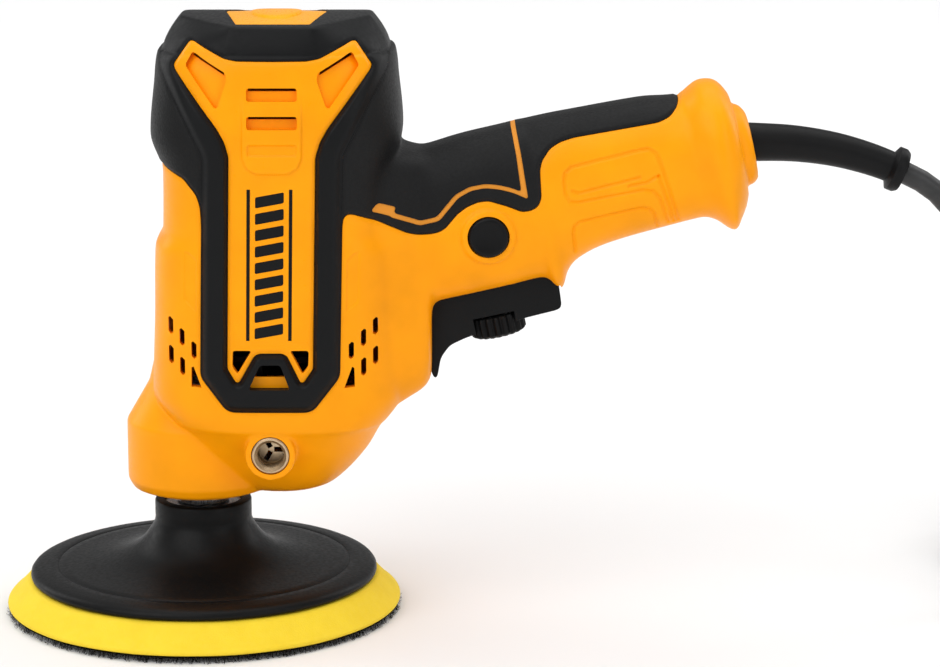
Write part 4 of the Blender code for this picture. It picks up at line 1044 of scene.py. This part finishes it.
def make_trigger():
    trigger = prism("trigger", softened(TRIGGER, 1.6), -8.0, 8.0)
    bevelled(trigger, 1.3, 4)
    combine(trigger, laid(rod("plunger", 3.1, 0, 12.0), handle_up(), handle_point(112.0, 0, 82.0)), "UNION")
    notch = rod("notch", DIAL_RADIUS + 1.6, -10, 7.6)
    cut(trigger, laid(notch, handle_up(), handle_point(DIAL_S - 0.4, 0, DIAL_V)))
    cut(trigger, laid(rod("socket", 2.4, 0, 6), handle_up(), handle_point(DIAL_S, 0, 72)))
    finish = moulded("trigger_black", (0.005, 0.0052, 0.0055), 0.4, 1500.0, 0.03)
    publish(smooth(trigger), "squeeze_trigger", "trigger", finish, "black_plastic", "trigger")


def make_dial():
    """The speed wheel, with rounded lobes and a pin."""
    lobes = 20
    outline = []
    for i in range(lobes * 12):
        angle = 2 * math.pi * i / (lobes * 12)
        radius = DIAL_RADIUS - 0.85 * (0.5 - 0.5 * math.cos(lobes * angle)) ** 1.5
        outline.append((radius * math.cos(angle), radius * math.sin(angle)))
    steps = ((-3.1, 2.6), (-2.9, 1.3), (-2.5, 0.5), (-2.0, 0.0), (3.0, 0.0), (3.6, 0.35), (3.9, 0.9))
    rings = []
    for z, inset in steps:
        scale = 1 - inset / DIAL_RADIUS
        rings.append([(x * scale, y * scale, z) for x, y in outline])
    wheel = loft("wheel", rings)
    combine(wheel, rod("pin", 2.0, 0, 6.5), "UNION")
    laid(wheel, handle_up(), handle_point(DIAL_S, 0, DIAL_V + 3.0))
    finish = moulded("dial_black", (0.004, 0.004, 0.0042), 0.4, 1500.0, 0.03)
    publish(smooth(wheel, 30), "speed_wheel", "speed_dial", finish, "black_plastic", "speed_dial")


def make_button():
    profile = (
        (0, 5.45), (2.6, 5.5), (4.3, 5.8), (5.0, 6.0), (5.6, 5.9), (6.05, 5.5), (6.2, 4.9), (6.2, 0),
        (7.3, 0), (7.3, -1.2), (2.6, -1.2), (2.6, -1.6), (0, -1.6),
    )
    button = laid(turned("button", profile, 96), (0, -1, 0), (BUTTON[0], -13.8, BUTTON[1]))
    finish = moulded("button_black", (0.005, 0.005, 0.0053), 0.34, 1500.0, 0.02)
    publish(smooth(button), "lock_on_button", "lock_button", finish, "black_plastic", "lock_button")


# ---------------------------------------------------------------- pad and backing plate

def rounded_profile(points, steps=4):
    """A turned profile smoothed by a Catmull-Rom curve through its points."""
    route = [Vector(point) for point in points]
    ends = [2 * route[0] - route[1]] + route + [2 * route[-1] - route[-2]]
    made = []
    for a, b, c, d in zip(ends, ends[1:], ends[2:], ends[3:]):
        for i in range(steps):
            t = i / steps
            bend = (2 * a - 5 * b + 4 * c - d) * t * t + (3 * b - a - 3 * c + d) * t ** 3
            made.append(tuple(0.5 * (2 * b + (c - a) * t + bend)))
    return made + [tuple(route[-1])]


def make_plate():
    """The backing plate: a collar, a flared hub, a flat with a moulded ring, and a rounded rim."""
    flare = rounded_profile((
        (15.3, 31.4), (15.4, 28.8), (16.7, 26.1), (19.5, 22.4), (23.4, 19.4), (29.0, 17.2), (36.0, 15.9),
        (43.5, 15.2),
    ))
    outside = [(14.7, 35.6), (15.1, 35.4), (15.3, 34.9)] + flare
    outside += [
        (45.8, 15.05), (46.4, 14.6), (47.0, 14.95), (49.0, 14.75), (51.4, 14.5), (53.2, 14.15),
        (54.3, 13.6), (54.9, 12.8), (55.0, 12.1), (54.8, 11.4), (54.3, 11.1),
    ]
    inside = [(9.3, 11.1), (9.3, 24.0), (12.3, 24.0), (12.3, 35.6)]
    plate = turned("plate", outside + inside, 160, closed=True)
    finish = moulded("backing_black", (0.0034, 0.0035, 0.0037), 0.40, 2200.0, 0.006, 0.12, 0.14)
    publish(smooth(plate, 50), "backing_disc", "spindle", finish, "black_plastic", "backing_plate")


def make_foam():
    """The moulded foam disc: a flared side with a soft lower edge and the faint swell of pressed foam."""
    side = rounded_profile((
        (54.4, 10.75), (56.0, 10.0), (58.2, 7.6), (60.4, 5.4), (61.8, 4.2), (62.4, 3.5), (62.4, 2.7),
        (61.8, 2.3),
    ))
    profile = [(0, 10.8), (30.0, 10.8)] + side + [(30.0, 2.3), (0, 2.3)]

    def swell(radius, angle):
        return 0.10 * math.sin(9 * angle + 0.6) * math.sin(5 * angle) if 54 < radius < 62 else 0.0

    disc = turned("foam", profile, 192, wave=swell)
    finish = foam_finish("yellow_foam")
    piece = publish(smooth(disc, 60), "foam_disc", "spindle", finish, "foam", "foam_pad")


STRAND = 0.075  # radius of a hook's strand
DEEPEST = 1.5  # how far a hook may hang down


def make_hooks():
    """The hook face: a backing with curled wiry hooks at its edge and all over its underside."""
    chance = random.Random(7)
    backing = turned("backing", ((0, 2.0), (61.6, 2.0), (61.9, 1.85), (61.6, 1.7), (0, 1.7)), 128)
    points, faces = [], []
    for _ in range(1100):
        add_hook(points, faces, chance, 61.9 - 1.2 * chance.random() ** 2, 1.15)
    for _ in range(2500):
        add_hook(points, faces, chance, 60 * math.sqrt(chance.random()), 0.8)
    piece = merged("hook_fringe", [backing, solid("hooks", points, faces)])
    finish = fibre_finish("hook_fibre", (0.008, 0.0075, 0.006))
    publish(smooth(piece, 60), "hook_fringe", "spindle", finish, "hook_fabric", "hook_face")


def add_hook(points, faces, chance, start, reach):
    """One hook as a thin three-sided strand that hangs down, bends sideways and curls back up."""
    angle = chance.uniform(0, 2 * math.pi)
    out = Vector((math.cos(angle), math.sin(angle), 0))
    side = Vector((-out.y, out.x, 0))
    lean = chance.uniform(-1.9, 1.9)
    way = out * math.cos(lean) + side * math.sin(lean)
    wide, deep = chance.uniform(0.5, 1.5) * reach, chance.uniform(0.7, 1.42) * reach
    deep = min(deep, DEEPEST)
    base = len(points)
    for across, down in ((0, -0.1), (0.08, 0.45), (0.3, 0.85), (0.62, 1.0), (0.9, 0.82), (0.95, 0.5)):
        place = out * start + way * wide * across + Vector((0, 0, 1.6 - deep * down))
        for k in range(3):
            turn = 2 * math.pi * k / 3
            around = side * math.cos(turn) + (out + Vector((0, 0, 1))) * 0.7 * math.sin(turn)
            points.append(tuple(place + STRAND * around))
    for ring in range(5):
        for k in range(3):
            a, b = base + ring * 3 + k, base + ring * 3 + (k + 1) % 3
            faces.append((a, b, b + 3, a + 3))
    faces.append((base, base + 1, base + 2))
    faces.append((base + 15, base + 16, base + 17))


# ---------------------------------------------------------------- cord, its relief, tie and plug

def smooth_route(points, spacing):
    """Points about a spacing apart on a smooth curve through the given route points."""
    dense = [Vector(point) for point in rounded_profile(points, 20)]
    kept = [dense[0]]
    for point in dense:
        if (point - kept[-1]).length >= spacing:
            kept.append(point)
    if (dense[-1] - kept[-1]).length < spacing / 2:
        kept.pop()
    return kept + [dense[-1]]


def make_relief():
    """The moulded sleeve from the handle's end: a taper with a bead at its end and a flange inside."""
    route = smooth_route(RELIEF_ROUTE, 0.7)
    rings = []
    travelled, length = 0.0, sum((b - a).length for a, b in zip(route, route[1:]))
    for i, place in enumerate(route):
        ahead, behind = route[min(i + 1, len(route) - 1)], route[max(i - 1, 0)]
        along = (ahead - behind).normalized()
        across = along.cross(Vector((0, 1, 0)))
        if i:
            travelled += (place - route[i - 1]).length
        radius = relief_radius(travelled, length)
        turns = [2 * math.pi * k / 48 for k in range(48)]
        first, second = Vector((0, 1, 0)) * radius, across * radius
        rings.append([place + first * math.cos(a) + second * math.sin(a) for a in turns])
    sleeve = loft("sleeve", rings)
    combine(sleeve, laid(rod("flange", 9.0, 0, 4.4), (1, 0, 0), SLEEVE_SEAT), "UNION")
    finish = moulded("relief_rubber", (0.006, 0.006, 0.0063), 0.42, 1200.0, 0.03)
    publish(smooth(sleeve), "cord_sleeve", "housing", finish, "black_rubber", "strain_relief")


def relief_radius(travelled, length):
    """6.3 mm at the handle down to 4.7 mm, then the bead, 4 mm long with rounded shoulders."""
    left = length - travelled
    taper = 6.3 - 1.6 * travelled / length
    if left > 4.4:
        return taper
    bump = min(1.0, (4.4 - left) / 0.7, (left + 0.25) / 0.9)
    return taper + (7.0 - taper) * math.sqrt(max(0.0, 1 - (1 - bump) ** 2))


def coil_path():
    """The stored length: a spiral inwards, one outwards above it, one more inwards, then the last bend."""
    stages = (  # angle at the stage's end, radius and height there
        (-90, COIL_OUTER, 3.5), (630, COIL_INNER, 3.5), (750, COIL_INNER, 10.5),
        (1470, COIL_OUTER, 10.5), (1590, COIL_OUTER, 17.5), (2310, COIL_INNER, 17.5),
        (2350, COIL_INNER, 17.5), (2470, COIL_INNER, 21.9),
    )

    def coil_point(angle, radius, height):
        a = math.radians(angle)
        return (COIL[0] + radius * math.cos(a), COIL[1] + radius * math.sin(a), height)

    points = []
    for (start, radius, height), (end, next_radius, next_height) in zip(stages, stages[1:]):
        for angle in range(start, end, 5):
            t = (angle - start) / (end - start)
            eased = (next_height - height) * t * t * (3 - 2 * t)
            points.append(coil_point(angle, radius + (next_radius - radius) * t, height + eased))
    points.append(coil_point(*stages[-1]))
    return points + last_bend(points[-1])


def last_bend(leaving):
    """A straight stretch off the inner turn, then an arc of over four diameters' radius, up to the plug."""
    centre_x, centre_y, bend = COIL[0] + 13.7, COIL[1] + 9.0, 29.5
    arc = []
    for angle in range(-50, 91, 7):
        a = math.radians(angle)
        arc.append((centre_x + bend * math.cos(a), centre_y + bend * math.sin(a)))
    start = Vector(leaving)
    flat = [start.xy.lerp(Vector(arc[0]), t) for t in (0.25, 0.5, 0.75)] + [Vector(place) for place in arc]
    total = sum((b - a).length for a, b in zip([start.xy] + flat, flat))
    made, travelled, before = [], 0.0, start.xy
    for place in flat:
        travelled += (place - before).length
        before = place
        t = travelled / total
        rise = 0.35 * t + 0.65 * t * t * (3 - 2 * t)
        made.append((place.x, place.y, start.z + (PLUG_Z - start.z) * rise))
    return made


def make_cord():
    path = [tuple(point) for point in smooth_route(CORD_ROUTE, 6.0)]
    path += [(284.0, 0.0, 3.5), (290.0, 0.0, 3.5), (295.0, 0.0, 3.5)] + coil_path()
    curve = bpy.data.curves.new("mains_cord", "CURVE")
    curve.dimensions = "3D"
    curve.bevel_depth = CORD_RADIUS * MM
    curve.bevel_resolution = 6
    curve.use_fill_caps = True
    spline = curve.splines.new("POLY")
    spline.points.add(len(path) - 1)
    for place, point in zip(spline.points, path):
        place.co = (*(value * MM for value in point), 1.0)
    spline.use_smooth = True
    cord = new_object("mains_cord", curve)
    publish(cord, "mains_cord", "housing", cord_finish("cord_jacket"), "black_rubber", "power_cord",
            "power_cord_coil")
    pieces = [make_tie()] + make_plug()


def make_tie():
    """A soft strap round the coil, with a buckle on top."""
    low_x, high_x = COIL[0] + 27.3, COIL[0] + 49.3
    loop = softened(rectangle(low_x, high_x, 0.6, 21.3), 2.6, 6)
    rings = []
    for y, amount in ((-4.0, 0.15), (-3.6, 0.55), (3.6, 0.55), (4.0, 0.15)):
        rings.append([(x, COIL[1] + y, z) for x, z in grown(loop, amount)])
    for y in (4.0, -4.0):
        rings.append([(x, COIL[1] + y, z) for x, z in loop])
    strap = loft("strap", rings, closed=True)
    corners = rectangle(COIL[0] + 33.5, COIL[0] + 41.5, COIL[1] - 4.9, COIL[1] + 4.9)
    buckle = bevelled(prism("buckle", corners, 21.5, 22.2, upright=False), 0.3)
    strap = merged("tie", [strap, buckle])
    finish = moulded("tie_rubber", (0.012, 0.012, 0.012), 0.5, 900.0, 0.05)
    return publish(smooth(strap), "coil_strap", "housing", finish, "black_rubber", "coil_tie")


def make_plug():
    """A moulded plug with finger ribs, and its two brass pins."""
    sections = filled_in((
        (-22.0, 16.2, 11.2, 2.6), (-21.2, 17.0, 12.0, 2.6), (-17.0, 16.8, 11.9, 2.6),
        (-10.0, 15.4, 11.2, 2.4), (-2.0, 9.6, 8.6, 2.2), (6.0, 6.4, 6.4, 2.0), (16.5, 4.9, 4.9, 2.0),
        (18.0, 4.4, 4.4, 2.0),
    ), 0.5)
    rings = []
    for x, half_y, half_z, power in sections:
        ribbed = 0.5 * max(0.0, math.cos(x * 2 * math.pi / 3.0)) if -16 < x < -4 or 2 < x < 15 else 0.0
        section = superellipse(half_y - ribbed, half_z - ribbed * 0.3, power, 64)
        rings.append([(COIL[0] + x, PLUG_Y + a, PLUG_Z + b) for a, b in section])
    body = loft("plug", rings)
    finish = moulded("plug_black", (0.013, 0.013, 0.0135), 0.45, 1200.0, 0.03)
    brass = metal("pin_brass", (0.78, 0.58, 0.30), 0.24, (30.0, 1.0, 1.0), 300.0, 0.15)
    for side in (-1, 1):
        place = (COIL[0] - 16.0, PLUG_Y + side * PIN_SIDE, PLUG_Z)
        cut(body, laid(rod("hole", 2.6, 0, 12), (-1, 0, 0), place))
    pieces = [publish(smooth(body), "mains_plug", "housing", finish, "black_plastic", "plug_body")]
    profile = [(0, 24.7), (1.2, 24.6), (1.8, 24.2), (2.4, 23.2), (2.4, 11.0), (2.3, 10.8), (2.3, 0), (0, 0)]
    for side, word in ((-1, "front"), (1, "rear")):
        place = (COIL[0] - 16.3, PLUG_Y + side * PIN_SIDE, PLUG_Z)
        pin = laid(turned("pin", profile, 48), (-1, 0, 0), place)
        publish(smooth(pin), f"mains_pin_{word}", "housing", brass, "brass", f"plug_pin_{word}")
        pieces.append(pin)
    return pieces


# ---------------------------------------------------------------- finishes of the inner parts

def paint_inner_parts():
    """The CAD parts that keep their shape get detailed finishes."""
    steel = metal("turned_steel", (0.50, 0.50, 0.51), 0.26, (60.0, 60.0, 1.0), 260.0)
    ground = metal("ground_steel", (0.60, 0.60, 0.61), 0.2, (1.0, 1.0, 50.0), 400.0, 0.12)
    cast = Finish("cast_aluminium", 0.48, 1.0)
    cast.colour(cast.noise(80.0, 4.0), (0.50, 0.51, 0.52), (0.64, 0.65, 0.66))
    cast.bump((cast.noise(700.0, 4.0), 0.5, 0.12))
    segments = metal("commutator_copper", (0.70, 0.33, 0.16), 0.25, (1.0, 1.0, 60.0), 300.0)
    brass = metal("holder_brass", (0.70, 0.52, 0.27), 0.32)
    graphite = fibre_finish("graphite", (0.03, 0.03, 0.033))
    felt = fibre_finish("felt_ring", (0.24, 0.23, 0.21))
    nylon = moulded("inner_nylon", (0.02, 0.02, 0.021), 0.45, 1200.0, 0.04)
    pale = moulded("clamp_nylon", (0.52, 0.52, 0.49), 0.5, 1200.0, 0.04)
    chosen = {
        "spindle": steel, "drive_gear": steel, "pad_hub_nut": steel, "armature_shaft": ground,
        "armature_core": laminated_finish("rotor_stack"), "stator_core": laminated_finish("stator_stack"),
        "commutator": segments, "cooling_fan": nylon, "brush_frame": nylon, "switch_body": nylon,
        "felt_seal": felt, "cord_clamp": pale,
        "lower_bearing_plate": cast.material, "gear_plate": cast.material,
    }
    for name in ("spindle_lower", "spindle_upper", "motor_lower", "motor_upper"):
        chosen[name + "_bearing"] = ground
    for name in ("armature_winding_upper", "armature_winding_lower", "field_coil_front", "field_coil_rear"):
        chosen[name] = winding_finish(name + "_wire")
    for word in ("left", "right"):
        chosen["brush_holder_" + word] = brass
        chosen["carbon_brush_" + word] = graphite
        chosen["brush_spring_" + word] = ground
    for name, finish in chosen.items():
        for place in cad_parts[name].material_slots:
            place.material = finish


# ---------------------------------------------------------------- floor, light and camera

def make_camera():
    data = bpy.data.cameras.new("camera")
    data.lens = 124.6
    data.sensor_width = 36.0
    camera = bpy.data.objects.new("camera", data)
    bpy.context.scene.collection.objects.link(camera)
    camera.location = (0.0848, -1.0, 0.307)
    camera.rotation_euler = (math.radians(90 - 12.32), 0, 0)
    bpy.context.scene.camera = camera


def make_floor():
    floor = rod("floor", 4000, -4, -0.02, 64)
    finish = Finish("pale_floor", 0.75)
    finish.colour(finish.noise(3.0), (0.86, 0.86, 0.86), (0.88, 0.88, 0.88))
    finish.bump((finish.noise(60.0), 0.05, 0.1))
    floor.data.materials.append(finish.material)
    floor.name = "floor"


def make_lights():
    scene = bpy.context.scene
    scene.view_settings.view_transform = "Standard"
    world = bpy.data.worlds.new("studio")
    world.use_nodes = True
    scene.world = world
    tree = world.node_tree
    sky = fill(tree.nodes["Background"], Color=(1.0, 1.0, 1.0, 1.0))
    seen = tree.nodes.new("ShaderNodeLightPath")
    strength = fill(tree.nodes.new("ShaderNodeMapRange"), To_Min=AMBIENT, To_Max=1.0)
    tree.links.new(seen.outputs["Is Camera Ray"], strength.inputs["Value"])
    tree.links.new(strength.outputs["Result"], sky.inputs["Strength"])
    for name, place, spread, power in SUNS:
        lamp = add_lamp(name, "SUN", place, power)
        lamp.data.angle = math.radians(spread)
    for name, place, size, power in LAMPS:
        lamp = add_lamp(name, "AREA", place, power)
        lamp.data.shape = "RECTANGLE"
        lamp.data.size, lamp.data.size_y = size


def add_lamp(name, kind, place, power):
    data = bpy.data.lights.new(name, kind)
    data.energy = power
    lamp = bpy.data.objects.new(name, data)
    bpy.context.scene.collection.objects.link(lamp)
    lamp.location = place
    lamp.rotation_euler = (Vector(LOOK_AT) - Vector(place)).to_track_quat("-Z", "Y").to_euler()
    return lamp


make_camera()
make_cord()
make_relief()
make_housing()
make_insert()
make_nuts()
make_screws()
make_trigger()
make_dial()
make_button()
make_plate()
make_foam()
make_hooks()
paint_inner_parts()
make_floor()
make_lights()
